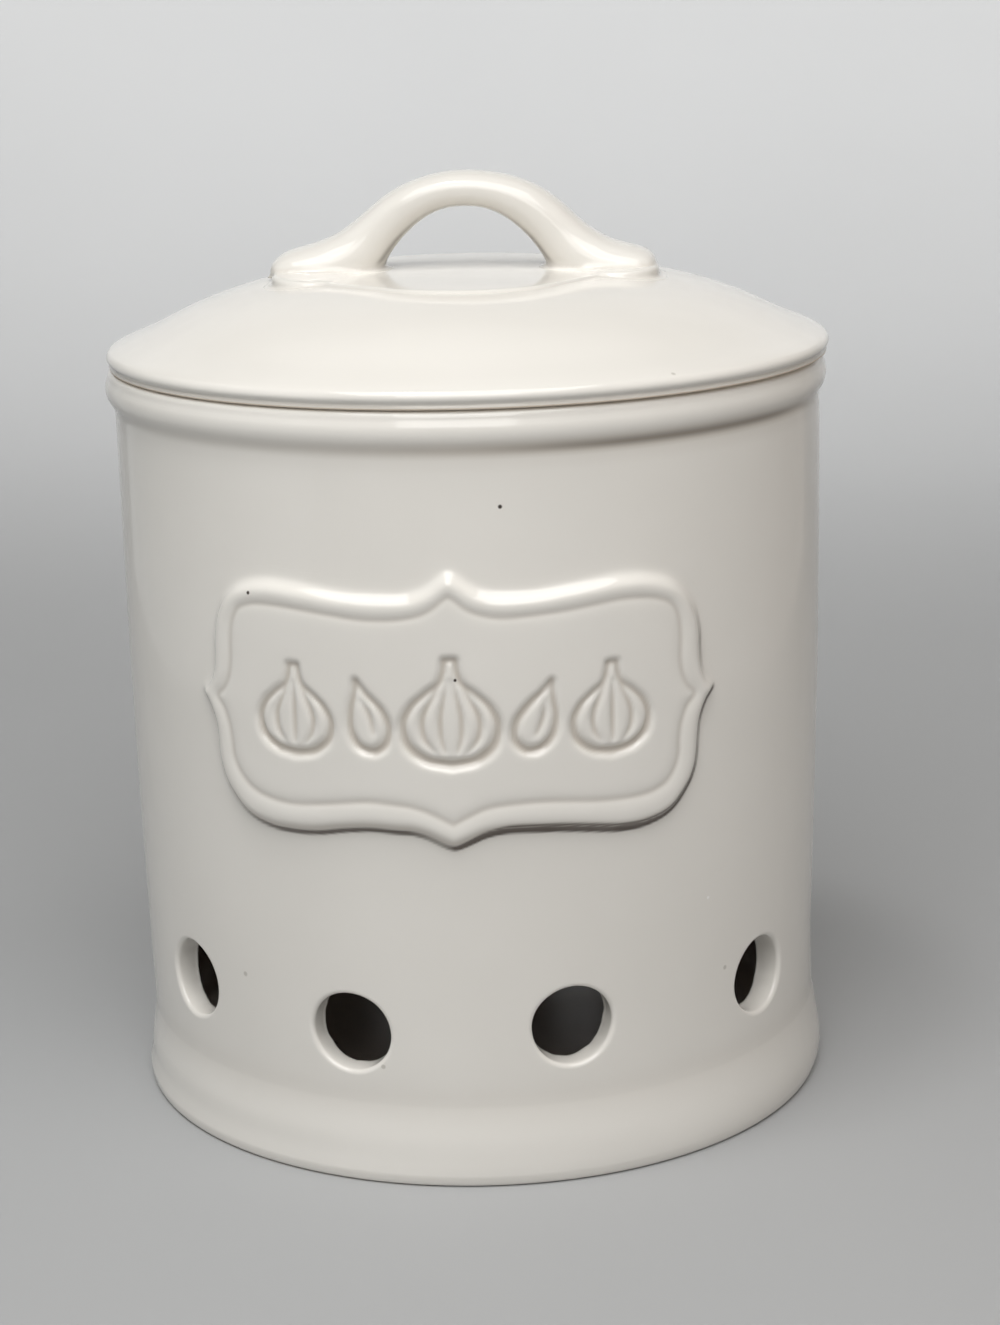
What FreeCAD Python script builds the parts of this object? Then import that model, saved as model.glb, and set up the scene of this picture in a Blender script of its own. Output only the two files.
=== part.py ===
import FreeCAD, Part
import math
import os
import Sketcher

# Garlic keeper: a glazed stoneware cylinder with vent holes near its foot, a relief label
# plaque on the front (-Y) and a loose domed lid with a strap-loop handle.
# Frame: Z is the axis of the pot, Z = 0 is the plane it stands on, the plaque faces -Y.
# Lengths are in millimetres.

doc = FreeCAD.newDocument("garlic_keeper")

# ----------------------------------------------------------------------------------------
# Driving dimensions
# ----------------------------------------------------------------------------------------
DIMENSIONS = [
    # foot and wall of the vessel
    ("foot_recess_radius", 58.5, "inner edge of the recess under the floor"),
    ("foot_ring_inner_radius", 60.8, "inner edge of the unglazed ring the pot stands on"),
    ("foot_recess_depth", 2.4, "height of the underside above the table"),
    ("foot_radius", 69.1, "outside of the foot band"),
    ("foot_edge_round", 1.2, "rounding of the lower outer edge"),
    ("foot_band_height", 8.2, "top of the straight part of the foot band"),
    ("foot_band_round", 4.0, "rounding of the band's upper edge"),
    ("wall_foot_height", 15.4, "where the wall leaves the foot band"),
    ("wall_foot_radius", 67.5, "outside of the wall there"),
    ("wall_foot_round", 5.0, "soft corner between band and wall"),
    ("cove_height", 134.8, "where the wall meets the rim band"),
    ("cove_radius", 68.6, "outside of the wall there"),
    ("cove_round", 3.0, "soft corner under the rim band"),
    ("rim_lower_height", 138.0, "lower edge of the rim band"),
    ("rim_lower_radius", 69.7, "outside of the band there"),
    ("rim_lower_round", 2.0, "rounding of that edge"),
    ("rim_radius", 70.2, "largest radius of the pot"),
    ("rim_mid_height", 140.6, "height of the largest radius"),
    ("rim_top_radius", 69.0, "outside of the band at the top"),
    ("rim_top_round", 1.8, "rounding of the rim's outer edge"),
    ("rim_height", 144.4, "flat top of the rim, which carries the lid"),
    ("rim_inner_round", 1.2, "rounding of the rim's inner edge"),
    ("bore_top_radius", 64.25, "inside of the wall at the rim"),
    ("bore_floor_radius", 62.5, "inside of the wall at the floor"),
    ("bore_floor_round", 9.0, "corner between wall and floor inside"),
    ("floor_height", 7.2, "top of the floor"),
    # vent holes
    ("vent_count", 10, "vent holes round the pot"),
    ("vent_first_angle", 18.0, "first hole, degrees round from the plaque"),
    ("vent_height", 30.0, "height of the holes' centres"),
    ("vent_radius", 7.5, "clear radius of a hole"),
    ("vent_lip_round", 0.9, "rounding of the outer lip"),
    # plaque
    ("plaque_centre_height", 90.7, "middle of the plaque"),
    ("plaque_half_width", 46.1, "middle to side cusp, straight across"),
    ("plaque_half_height", 26.1, "middle to top cusp"),
    ("plaque_low_height", 62.0, "bottom of the zone the plaque is cut from"),
    ("plaque_zone_height", 60.0, "height of that zone"),
    ("plaque_ridge", 2.35, "height of the border ridge over the wall"),
    ("plaque_field", 1.6, "height of the field over the wall"),
    ("plaque_sunk", 0.4, "height of the motif's ground over the wall"),
    ("field_half_width", 41.6, "middle to side cusp of the field, straight across"),
    ("field_half_height", 20.9, "middle to top cusp of the field"),
    ("motif_height", 18.6, "height of the middle garlic bulb"),
    ("motif_side_height", 14.6, "height of the outer garlic bulbs"),
    ("motif_clove_height", 12.4, "height of the cloves"),
    # lid
    ("dome_height", 160.15, "top of the lid"),
    ("dome_flat_radius", 25.4, "radius of the nearly flat middle"),
    ("dome_round", 75.0, "radius of the dome's shoulder"),
    ("dome_edge_radius", 62.4, "where the shoulder ends"),
    ("dome_edge_height", 150.5, "height there"),
    ("dome_edge_round", 12.0, "softness where it runs out to the bead"),
    ("bead_radius", 70.15, "outside of the lid"),
    ("bead_top_height", 147.4, "top of the bead"),
    ("bead_top_round", 1.9, "rounding of the bead's top"),
    ("bead_low_height", 145.3, "underside of the bead"),
    ("bead_low_round", 0.8, "rounding of the bead's underside"),
    ("seat_outer_radius", 69.0, "outer edge of the lid's seat"),
    ("flange_outer_radius", 62.5, "outside of the locating flange"),
    ("flange_tip_radius", 62.2, "outside of the flange at its tip"),
    ("flange_inner_radius", 59.0, "inside of the locating flange"),
    ("flange_height", 137.0, "height of the flange's tip"),
    ("flange_round", 1.2, "rounding of the flange's tip"),
    ("under_edge_height", 147.2, "where the flange meets the underside"),
    ("under_flat_radius", 25.4, "radius of the flat middle underneath"),
    ("under_height", 155.65, "height of the underside"),
    ("under_round", 70.5, "radius of the underside's shoulder"),
    # pad under the handle
    ("pad_radius", 30.8, "round part of the pad"),
    ("pad_top_height", 160.95, "top of the round part"),
    ("pad_edge_round", 0.55, "softness of its edge"),
    ("tab_half_length", 37.8, "middle to the end of a tab"),
    ("tab_half_width", 12.2, "half of a tab's width"),
    ("tab_end_round", 8.8, "rounding of a tab's corners in plan"),
    ("tab_top_height", 161.35, "top of the tabs"),
    ("pad_low_height", 157.2, "hidden level the pad is built up from"),
    # handle
    ("handle_seat_cut", 6.0, "depth of the cut that flattens the feet"),
]

# The handle's right half as sections across the strap, from the crown to the end of the foot.
# Each runs from the outer curve (x, height) to the inner curve (x, height), with half a width.
STRAP = [
    (0.0, 179.4, 0.0, 172.5, 6.9),
    (6.6, 178.7, 3.9, 172.15, 6.9),
    (12.6, 176.6, 7.7, 170.6, 6.95),
    (17.6, 173.6, 11.2, 167.9, 7.05),
    (21.4, 170.3, 14.0, 164.9, 7.35),
    (25.0, 167.6, 16.6, 161.6, 8.0),
    (29.0, 165.8, 22.0, 159.0, 8.6),
    (33.0, 164.75, 28.6, 158.2, 8.6),
    (35.6, 163.9, 32.6, 158.4, 7.9),
    (37.0, 162.5, 35.0, 158.9, 6.4),
    (37.5, 161.0, 36.6, 159.4, 4.2),
]
for number, values in enumerate(STRAP):
    for word, value in zip(("outer_x", "outer_height", "inner_x", "inner_height", "half_width"),
                           values):
        DIMENSIONS.append(("strap%d_%s" % (number, word), value,
                           "handle section %d" % number))

sheet = doc.addObject("Spreadsheet::Sheet", "dims")
for row, (alias, value, note) in enumerate(DIMENSIONS, start=1):
    sheet.set("A%d" % row, alias)
    sheet.set("B%d" % row, repr(value))
    sheet.set("C%d" % row, note)
    sheet.setAlias("B%d" % row, alias)
doc.recompute()


class Dim:
    """A length that knows its value and how to write itself as an expression on the sheet."""

    def __init__(self, value, text):
        self.value = float(value)
        self.text = text

    @staticmethod
    def of(other):
        return other if isinstance(other, Dim) else Dim(other, repr(float(other)))

    def __add__(self, other):
        other = Dim.of(other)
        return Dim(self.value + other.value, "(%s + %s)" % (self.text, other.text))

    def __sub__(self, other):
        other = Dim.of(other)
        return Dim(self.value - other.value, "(%s - %s)" % (self.text, other.text))

    def __mul__(self, other):
        other = Dim.of(other)
        return Dim(self.value * other.value, "(%s * %s)" % (self.text, other.text))

    def __truediv__(self, other):
        other = Dim.of(other)
        return Dim(self.value / other.value, "(%s / %s)" % (self.text, other.text))

    def __neg__(self):
        return Dim(-self.value, "(-1 * %s)" % self.text)

    __radd__ = __add__
    __rmul__ = __mul__


def dim(alias):
    return Dim(sheet.get(alias), "dims." + alias)


def bind(obj, prop, length):
    obj.setExpression(prop, Dim.of(length).text)


ZERO = Dim(0.0, "0")


# ----------------------------------------------------------------------------------------
# Sketch helpers
# ----------------------------------------------------------------------------------------
def outline(sketch, vertices, arcs=None):
    """Closed outline through vertices [(x, y), ...], every corner bound to the sheet.

    arcs maps the index of a segment to (radius, side): side +1 puts the centre of the arc on
    the left of the way from its first corner to its second, -1 on the right.
    """
    arcs = arcs or {}
    first = sketch.GeometryCount
    count = len(vertices)
    xy = [(Dim.of(x), Dim.of(y)) for x, y in vertices]
    ends = []
    for i in range(count):
        ax, ay = xy[i][0].value, xy[i][1].value
        bx, by = xy[(i + 1) % count][0].value, xy[(i + 1) % count][1].value
        a, b = FreeCAD.Vector(ax, ay, 0), FreeCAD.Vector(bx, by, 0)
        if i not in arcs:
            sketch.addGeometry(Part.LineSegment(a, b), False)
            ends.append((1, 2))
            continue
        radius, side = Dim.of(arcs[i][0]), arcs[i][1]
        half = (b - a).Length / 2.0
        rise = math.sqrt(radius.value ** 2 - half ** 2)
        left = FreeCAD.Vector(-(by - ay), bx - ax, 0).normalize()
        centre = (a + b) * 0.5 + left * rise * side
        circle = Part.Circle(centre, FreeCAD.Vector(0, 0, 1), radius.value)
        start, stop = (a, b) if side > 0 else (b, a)
        u0 = math.atan2(start.y - centre.y, start.x - centre.x)
        u1 = math.atan2(stop.y - centre.y, stop.x - centre.x)
        if u1 < u0:
            u1 += 2 * math.pi
        sketch.addGeometry(Part.ArcOfCircle(circle, u0, u1), False)
        ends.append((1, 2) if side > 0 else (2, 1))
    for i in range(count):
        j = (i + 1) % count
        sketch.addConstraint(
            Sketcher.Constraint("Coincident", first + i, ends[i][1], first + j, ends[j][0]))
    for i in range(count):
        point = ends[i][0]
        for kind, length in (("DistanceX", xy[i][0]), ("DistanceY", xy[i][1])):
            if abs(length.value) < 1e-9:
                axis = -2 if kind == "DistanceX" else -1
                sketch.addConstraint(
                    Sketcher.Constraint("PointOnObject", first + i, point, axis))
                continue
            index = sketch.addConstraint(
                Sketcher.Constraint(kind, -1, 1, first + i, point, length.value))
            name = "%s%d" % ("px" if kind == "DistanceX" else "py", first + i)
            sketch.renameConstraint(index, name)
            sketch.setExpression("Constraints." + name, length.text)
    for i, (radius, side) in arcs.items():
        radius = Dim.of(radius)
        index = sketch.addConstraint(Sketcher.Constraint("Radius", first + i, radius.value))
        name = "round%d" % (first + i)
        sketch.renameConstraint(index, name)
        sketch.setExpression("Constraints." + name, radius.text)
    return sketch


def mirrored(half, arcs):
    """Full outline, symmetric about x = 0, from its right half.

    half runs from a corner on x = 0 to another corner on x = 0. The left half is the same
    corners the other way round, so its arcs keep their side.
    """
    n = len(half)
    full = list(half) + [(-Dim.of(x), y) for x, y in reversed(half[1:-1])]
    both = dict(arcs)
    for i, spec in arcs.items():
        both[2 * (n - 1) - 1 - i] = spec
    return full, both


def origin_plane(body, role):
    return [o for o in body.Origin.OriginFeatures if o.Role == role][0]


def body_sketch(body, name, role):
    sketch = body.newObject("Sketcher::SketchObject", name)
    sketch.AttachmentSupport = [(origin_plane(body, role), "")]
    sketch.MapMode = "FlatFace"
    return sketch


def new_body(label):
    body = doc.addObject("PartDesign::Body", label)
    body.Label = label
    body.Placement = FreeCAD.Placement()
    return body


def ring_edges(shape, spots):
    """Names of the full circles about Z at the given (radius, height) pairs."""
    names = []
    for radius, height in spots:
        found = [
            "Edge%d" % (k + 1) for k, e in enumerate(shape.Edges)
            if isinstance(e.Curve, Part.Circle) and len(e.Vertexes) == 1
            and abs(e.Curve.Radius - radius.value) < 0.02
            and abs(e.Curve.Center.z - height.value) < 0.02
            and abs(e.Curve.Center.x) < 0.01 and abs(e.Curve.Center.y) < 0.01]
        if len(found) != 1:
            raise RuntimeError("edge r=%.2f z=%.2f: %d found" % (
                radius.value, height.value, len(found)))
        names += found
    return names


def round_rings(body, base, name, radius, spots):
    fillet = body.newObject("PartDesign::Fillet", name)
    fillet.Base = (base, ring_edges(base.Shape, spots))
    bind(fillet, "Radius", radius)
    doc.recompute()
    return fillet


# ----------------------------------------------------------------------------------------
# Vessel: revolved profile, ten vent holes, rounded edges
# ----------------------------------------------------------------------------------------
vessel = new_body("vessel")
profile = body_sketch(vessel, "vessel_profile", "XZ_Plane")
outline(profile, [
    (ZERO, dim("foot_recess_depth")),
    (dim("foot_recess_radius"), dim("foot_recess_depth")),
    (dim("foot_ring_inner_radius"), ZERO),
    (dim("foot_radius"), ZERO),
    (dim("foot_radius"), dim("foot_band_height")),
    (dim("wall_foot_radius"), dim("wall_foot_height")),
    (dim("cove_radius"), dim("cove_height")),
    (dim("rim_lower_radius"), dim("rim_lower_height")),
    (dim("rim_radius"), dim("rim_mid_height")),
    (dim("rim_top_radius"), dim("rim_height")),
    (dim("bore_top_radius"), dim("rim_height")),
    (dim("bore_floor_radius"), dim("floor_height")),
    (ZERO, dim("floor_height")),
])
turned = vessel.newObject("PartDesign::Revolution", "vessel_turned")
turned.Profile = profile
turned.ReferenceAxis = (profile, ["V_Axis"])
turned.Angle = 360
doc.recompute()

step = turned
for name, radius, spots in (
    ("foot_edge", "foot_edge_round", [("foot_radius", ZERO)]),
    ("band_edge", "foot_band_round", [("foot_radius", "foot_band_height")]),
    ("wall_foot", "wall_foot_round", [("wall_foot_radius", "wall_foot_height")]),
    ("cove", "cove_round", [("cove_radius", "cove_height")]),
    ("rim_lower", "rim_lower_round", [("rim_lower_radius", "rim_lower_height")]),
    ("rim_top", "rim_top_round", [("rim_top_radius", "rim_height")]),
    ("rim_inner", "rim_inner_round", [("bore_top_radius", "rim_height")]),
    ("floor_corner", "bore_floor_round", [("bore_floor_radius", "floor_height")]),
):
    step = round_rings(vessel, step, name, dim(radius), [
        (dim(r), z if isinstance(z, Dim) else dim(z)) for r, z in spots])

# one vent hole, cut outwards from the axis through the front wall, then patterned about Z
vent_sketch = body_sketch(vessel, "vent_circle", "XZ_Plane")
vent_sketch.AttachmentOffset = FreeCAD.Placement(
    FreeCAD.Vector(0, 0, 0), FreeCAD.Rotation(FreeCAD.Vector(0, 1, 0), 18.0))
vent_sketch.setExpression("AttachmentOffset.Rotation.Angle", "dims.vent_first_angle * 1deg")
vent_sketch.addGeometry(Part.Circle(
    FreeCAD.Vector(0, dim("vent_height").value, 0), FreeCAD.Vector(0, 0, 1),
    dim("vent_radius").value), False)
vent_sketch.addConstraint(Sketcher.Constraint("PointOnObject", 0, 3, -2))
at = vent_sketch.addConstraint(
    Sketcher.Constraint("DistanceY", -1, 1, 0, 3, dim("vent_height").value))
vent_sketch.renameConstraint(at, "height")
vent_sketch.setExpression("Constraints.height", "dims.vent_height")
at = vent_sketch.addConstraint(Sketcher.Constraint("Radius", 0, dim("vent_radius").value))
vent_sketch.renameConstraint(at, "clear")
vent_sketch.setExpression("Constraints.clear", "dims.vent_radius")
doc.recompute()
before = step.Shape.Volume
vent = vessel.newObject("PartDesign::Pocket", "vent")
vent.Profile = vent_sketch
vent.Type = "Length"
bind(vent, "Length", dim("rim_radius") + 10.0)
doc.recompute()
if vent.Shape.Solids[0].CenterOfMass.y < step.Shape.Solids[0].CenterOfMass.y:
    # material was lost at the back: turn the cut round so that the first hole is in front
    vent.Reversed = True
    doc.recompute()
cut = before - vent.Shape.Volume
expected = math.pi * dim("vent_radius").value ** 2 * 4.4
if not 0.7 * expected < cut < 1.4 * expected:
    raise RuntimeError("vent hole cut %.1f mm3, expected about %.1f" % (cut, expected))

vents = vessel.newObject("PartDesign::PolarPattern", "vents")
vents.Originals = [vent]
vents.Axis = (profile, ["V_Axis"])
vents.Angle = 360
vents.setExpression("Occurrences", "dims.vent_count")
vessel.Tip = vents
doc.recompute()
removed = before - vents.Shape.Volume
if abs(removed - cut * dim("vent_count").value) > 0.02 * removed:
    raise RuntimeError("vent pattern removed %.1f, not %.1f" % (
        removed, cut * dim("vent_count").value))


def lip_edges(shape):
    names = []
    low = dim("vent_height").value - dim("vent_radius").value - 1
    high = dim("vent_height").value + dim("vent_radius").value + 1
    for k, e in enumerate(shape.Edges):
        box = e.BoundBox
        if box.ZMin < low or box.ZMax > high or box.ZLength < dim("vent_radius").value:
            continue
        radii = [math.hypot(p.x, p.y) for p in e.discretize(9)]
        if min(radii) > dim("wall_foot_radius").value - 1.0:
            names.append("Edge%d" % (k + 1))
    return names


lips = vessel.newObject("PartDesign::Fillet", "vent_lips")
lips.Base = (vents, lip_edges(vents.Shape))
bind(lips, "Radius", dim("vent_lip_round"))
vessel.Tip = lips
doc.recompute()

# ----------------------------------------------------------------------------------------
# Label plaque: bracket-shaped relief plate that follows the slightly conical wall
# ----------------------------------------------------------------------------------------


def wall_radius(height):
    slope = (dim("cove_radius") - dim("wall_foot_radius")) / (
        dim("cove_height") - dim("wall_foot_height"))
    return dim("wall_foot_radius") + slope * (height - dim("wall_foot_height"))


def wall_cone(name, proud):
    """Solid cone that stands the given distance proud of the wall, over the plaque's zone."""
    cone = doc.addObject("Part::Cone", name)
    low = dim("plaque_low_height")
    bind(cone, "Radius1", wall_radius(low) + proud)
    bind(cone, "Radius2", wall_radius(low + dim("plaque_zone_height")) + proud)
    bind(cone, "Height", dim("plaque_zone_height"))
    cone.setExpression("Placement.Base.z", low.text)
    return cone


def shell(name, inner, outer):
    ring = doc.addObject("Part::Cut", name)
    ring.Base = wall_cone(name + "_outer", outer)
    ring.Tool = wall_cone(name + "_inner", inner)
    return ring


def front_prism(name, draw):
    """Outline drawn in a vertical plane, pushed forwards (-Y) through the front wall."""
    sketch = doc.addObject("Sketcher::SketchObject", name + "_outline")
    sketch.Placement = FreeCAD.Placement(
        FreeCAD.Vector(0, 0, 0), FreeCAD.Rotation(FreeCAD.Vector(1, 0, 0), 90))
    sketch.setExpression("Placement.Base.z", "dims.plaque_centre_height")
    draw(sketch)
    doc.recompute()
    prism = doc.addObject("Part::Extrusion", name)
    prism.Base = sketch
    prism.DirMode = "Normal"
    prism.Solid = True
    prism.FaceMakerClass = "Part::FaceMakerBullseye"
    bind(prism, "LengthFwd", dim("rim_radius") + 10.0)
    return prism


def bracket(sketch, w, v):
    """Four-cusped bracket outline, w and v being its half width and half height at the cusps."""
    quarter = [
        (ZERO, v),
        (w * 0.200, v * 0.842),
        (w * 0.415, v * 0.874),
        (w * 0.755, v * 0.900),
        (w * 0.925, v * 0.600),
        (w * 0.940, v * 0.260),
        (w, ZERO),
    ]
    radii = [w * 0.34, w * 1.10, w * 1.15, w * 0.245, None, w * 0.20]
    # the way goes clockwise: hollows have their centre on the left, crowns on the right
    sides = [+1, +1, -1, -1, 0, +1]
    half = quarter + [(x, -y) for x, y in reversed(quarter[:-1])]
    arcs = {}
    for i, (radius, side) in enumerate(zip(radii, sides)):
        if radius is None:
            continue
        arcs[i] = (radius, side)
        arcs[11 - i] = (radius, side)
    full, both = mirrored(half, arcs)
    outline(sketch, full, both)


def bulb(sketch, cx, cy, height):
    """Garlic bulb: a round body drawn out into a short neck."""
    k = height / 20.0
    half = [
        (ZERO, k * 10.0), (k * 1.5, k * 9.8), (k * 2.0, k * 5.4), (k * 8.9, k * -3.2),
        (k * 2.0, k * -9.7), (ZERO, k * -9.9),
    ]
    arcs = {1: (k * 12.0, +1), 2: (k * 7.6, -1), 3: (k * 6.6, -1)}
    full, both = mirrored(half, arcs)
    outline(sketch, [(cx + x, cy + y) for x, y in full], both)


def clove(sketch, cx, cy, height, lean):
    """Single clove: a pointed drop leaning by the given angle (degrees, towards +X)."""
    k = height / 13.0
    c, s = math.cos(math.radians(lean)), math.sin(math.radians(lean))
    points = [(0.0, 6.5), (3.6, -2.6), (0.0, -6.4), (-3.6, -2.6)]
    turned_points = [
        (cx + k * (x * c + y * s), cy + k * (y * c - x * s)) for x, y in points]
    outline(sketch, turned_points, {
        0: (k * 11.0, -1), 1: (k * 4.3, -1), 2: (k * 4.3, -1), 3: (k * 11.0, -1)})


def motif(sketch):
    low = ZERO
    bulb(sketch, ZERO, low, dim("motif_height"))
    for side in (-1.0, 1.0):
        clove(sketch, Dim.of(15.0 * side), low - 1.0, dim("motif_clove_height"), 16.0 * side)
        bulb(sketch, Dim.of(27.6 * side), low - 0.8, dim("motif_side_height"))


plate = doc.addObject("Part::Common", "plaque_plate")
plate.Base = shell("plaque_shell", ZERO, dim("plaque_ridge"))
plate.Tool = front_prism("plaque_prism", lambda s: bracket(
    s, dim("plaque_half_width"), dim("plaque_half_height")))

recess = doc.addObject("Part::Common", "field_recess")
recess.Base = shell("field_shell", dim("plaque_field"), dim("plaque_ridge") + 1.0)
recess.Tool = front_prism("field_prism", lambda s: bracket(
    s, dim("field_half_width"), dim("field_half_height")))

framed = doc.addObject("Part::Cut", "framed_plaque")
framed.Base = plate
framed.Tool = recess

sunk = doc.addObject("Part::Common", "sunk_motif")
sunk.Base = shell("motif_shell", dim("plaque_sunk"), dim("plaque_ridge") + 1.0)
sunk.Tool = front_prism("motif_prism", motif)

plaque = doc.addObject("Part::Cut", "label_plaque")
plaque.Label = "label_plaque"
plaque.Base = framed
plaque.Tool = sunk
plaque.Placement = FreeCAD.Placement()
doc.recompute()

# ----------------------------------------------------------------------------------------
# Lid: revolved dome with a bead edge, a flat seat and a locating flange
# ----------------------------------------------------------------------------------------
lid = new_body("lid")
dome = body_sketch(lid, "lid_profile", "XZ_Plane")
outline(dome, [
    (ZERO, dim("under_height")),
    (dim("under_flat_radius"), dim("under_height")),
    (dim("flange_inner_radius"), dim("under_edge_height")),
    (dim("flange_inner_radius"), dim("flange_height")),
    (dim("flange_tip_radius"), dim("flange_height")),
    (dim("flange_outer_radius"), dim("rim_height")),
    (dim("seat_outer_radius"), dim("rim_height")),
    (dim("bead_radius"), dim("bead_low_height")),
    (dim("bead_radius"), dim("bead_top_height")),
    (dim("dome_edge_radius"), dim("dome_edge_height")),
    (dim("dome_flat_radius"), dim("dome_height")),
    (ZERO, dim("dome_height")),
], {
    1: (dim("under_round"), -1),
    9: (dim("dome_round"), +1),
})
lid_turned = lid.newObject("PartDesign::Revolution", "lid_turned")
lid_turned.Profile = dome
lid_turned.ReferenceAxis = (dome, ["V_Axis"])
lid_turned.Angle = 360
doc.recompute()
step = lid_turned
for name, radius, spots in (
    ("dome_edge", "dome_edge_round", [("dome_edge_radius", "dome_edge_height")]),
    ("bead_top", "bead_top_round", [("bead_radius", "bead_top_height")]),
    ("bead_low", "bead_low_round", [("bead_radius", "bead_low_height")]),
    ("flange_tip", "flange_round", [
        ("flange_tip_radius", "flange_height"), ("flange_inner_radius", "flange_height")]),
):
    step = round_rings(lid, step, name, dim(radius), [(dim(r), dim(z)) for r, z in spots])
lid.Tip = step
doc.recompute()

# ----------------------------------------------------------------------------------------
# Handle pad: low round pad with two tabs, moulded on to the dome
# ----------------------------------------------------------------------------------------
disc = doc.addObject("Part::Cylinder", "pad_disc")
bind(disc, "Radius", dim("pad_radius"))
bind(disc, "Height", dim("pad_top_height") - dim("pad_low_height"))
disc.setExpression("Placement.Base.z", "dims.pad_low_height")
doc.recompute()
soft_disc = doc.addObject("Part::Fillet", "pad_soft_disc")
soft_disc.Base = disc
soft_disc.Edges = [
    (k + 1, dim("pad_edge_round").value, dim("pad_edge_round").value)
    for k, e in enumerate(disc.Shape.Edges)
    if e.BoundBox.ZMin > dim("pad_top_height").value - 0.01]

tab_sketch = doc.addObject("Sketcher::SketchObject", "tab_outline")
tab_sketch.setExpression("Placement.Base.z", "dims.pad_low_height")
tab_l, tab_w, tab_r = dim("tab_half_length"), dim("tab_half_width"), dim("tab_end_round")
outline(tab_sketch, [
    (tab_l, -(tab_w - tab_r)), (tab_l, tab_w - tab_r),
    (tab_l - tab_r, tab_w), (-(tab_l - tab_r), tab_w),
    (-tab_l, tab_w - tab_r), (-tab_l, -(tab_w - tab_r)),
    (-(tab_l - tab_r), -tab_w), (tab_l - tab_r, -tab_w),
], {1: (tab_r, +1), 3: (tab_r, +1), 5: (tab_r, +1), 7: (tab_r, +1)})
doc.recompute()
tabs = doc.addObject("Part::Extrusion", "pad_tabs")
tabs.Base = tab_sketch
tabs.DirMode = "Normal"
tabs.Solid = True
bind(tabs, "LengthFwd", dim("tab_top_height") - dim("pad_low_height"))
doc.recompute()
soft_tabs = doc.addObject("Part::Fillet", "pad_soft_tabs")
soft_tabs.Base = tabs
soft_tabs.Edges = [
    (k + 1, dim("pad_edge_round").value, dim("pad_edge_round").value)
    for k, e in enumerate(tabs.Shape.Edges)
    if e.BoundBox.ZMin > dim("tab_top_height").value - 0.01]
doc.recompute()
blank = doc.addObject("Part::Fuse", "pad_blank")
blank.Base = soft_disc
blank.Tool = soft_tabs
pad = doc.addObject("Part::Cut", "handle_pad")
pad.Label = "handle_pad"
pad.Base = blank
pad.Tool = lid
pad.Placement = FreeCAD.Placement()
doc.recompute()

# ----------------------------------------------------------------------------------------
# Handle: strap loop across X, lofted through elliptic sections, feet cut flat on the tabs
# ----------------------------------------------------------------------------------------
handle = new_body("lid_handle")


def strap_section(number, side):
    """Ellipse in the plane through the outer and inner curves, its long axis along Y."""
    key = "strap%d_" % number
    out_x, out_z = dim(key + "outer_x") * side, dim(key + "outer_height")
    in_x, in_z = dim(key + "inner_x") * side, dim(key + "inner_height")
    wide = dim(key + "half_width")
    lean = math.degrees(math.atan2(out_x.value - in_x.value, out_z.value - in_z.value))
    sketch = body_sketch(handle, "strap_%s%d" % ("left" if side < 0 else "right", number),
                         "YZ_Plane")
    sketch.AttachmentOffset = FreeCAD.Placement(
        FreeCAD.Vector(0, (out_z.value + in_z.value) / 2, (out_x.value + in_x.value) / 2),
        FreeCAD.Rotation(FreeCAD.Vector(1, 0, 0), lean))
    bind(sketch, "AttachmentOffset.Base.y", (out_z + in_z) / 2.0)
    if abs(lean) > 1e-6:
        bind(sketch, "AttachmentOffset.Base.z", (out_x + in_x) / 2.0)
        sketch.setExpression("AttachmentOffset.Rotation.Angle", "atan(%s / %s)" % (
            (out_x - in_x).text, (out_z - in_z).text))
    thick = math.hypot(out_x.value - in_x.value, out_z.value - in_z.value)
    sketch.addGeometry(Part.Ellipse(FreeCAD.Vector(0, 0, 0), wide.value, thick / 2), False)
    sketch.exposeInternalGeometry(0)
    sketch.addConstraint(Sketcher.Constraint("Coincident", 0, 3, -1, 1))
    sketch.addConstraint(Sketcher.Constraint("Horizontal", 1))
    at = sketch.addConstraint(Sketcher.Constraint("Distance", 1, 1, 1, 2, wide.value * 2))
    sketch.renameConstraint(at, "width")
    sketch.setExpression("Constraints.width", (wide * 2.0).text)
    at = sketch.addConstraint(Sketcher.Constraint("Distance", 2, 1, 2, 2, thick))
    sketch.renameConstraint(at, "thickness")
    sketch.setExpression("Constraints.thickness", "sqrt(%s ^ 2 + %s ^ 2)" % (
        (out_x - in_x).text, (out_z - in_z).text))
    return sketch


last = len(STRAP) - 1
sections = [strap_section(k, -1.0) for k in range(last, 0, -1)]
sections += [strap_section(k, 1.0) for k in range(0, last + 1)]
doc.recompute()
strap = handle.newObject("PartDesign::AdditiveLoft", "handle_strap")
strap.Profile = sections[0]
strap.Sections = sections[1:]
strap.Ruled = False
doc.recompute()

seat_sketch = body_sketch(handle, "handle_seat", "XY_Plane")
bind(seat_sketch, "AttachmentOffset.Base.z", dim("tab_top_height"))
reach = dim("tab_half_length") + 10.0
outline(seat_sketch, [(reach, -reach), (reach, reach), (-reach, reach), (-reach, -reach)])
doc.recompute()
before = strap.Shape.Volume
feet = handle.newObject("PartDesign::Pocket", "handle_feet")
feet.Profile = seat_sketch
feet.Type = "Length"
bind(feet, "Length", dim("handle_seat_cut"))
handle.Tip = feet
doc.recompute()
if not 0.8 * before < feet.Shape.Volume < 0.97 * before:
    raise RuntimeError("seat cut left %.1f of %.1f mm3" % (feet.Shape.Volume, before))

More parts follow.
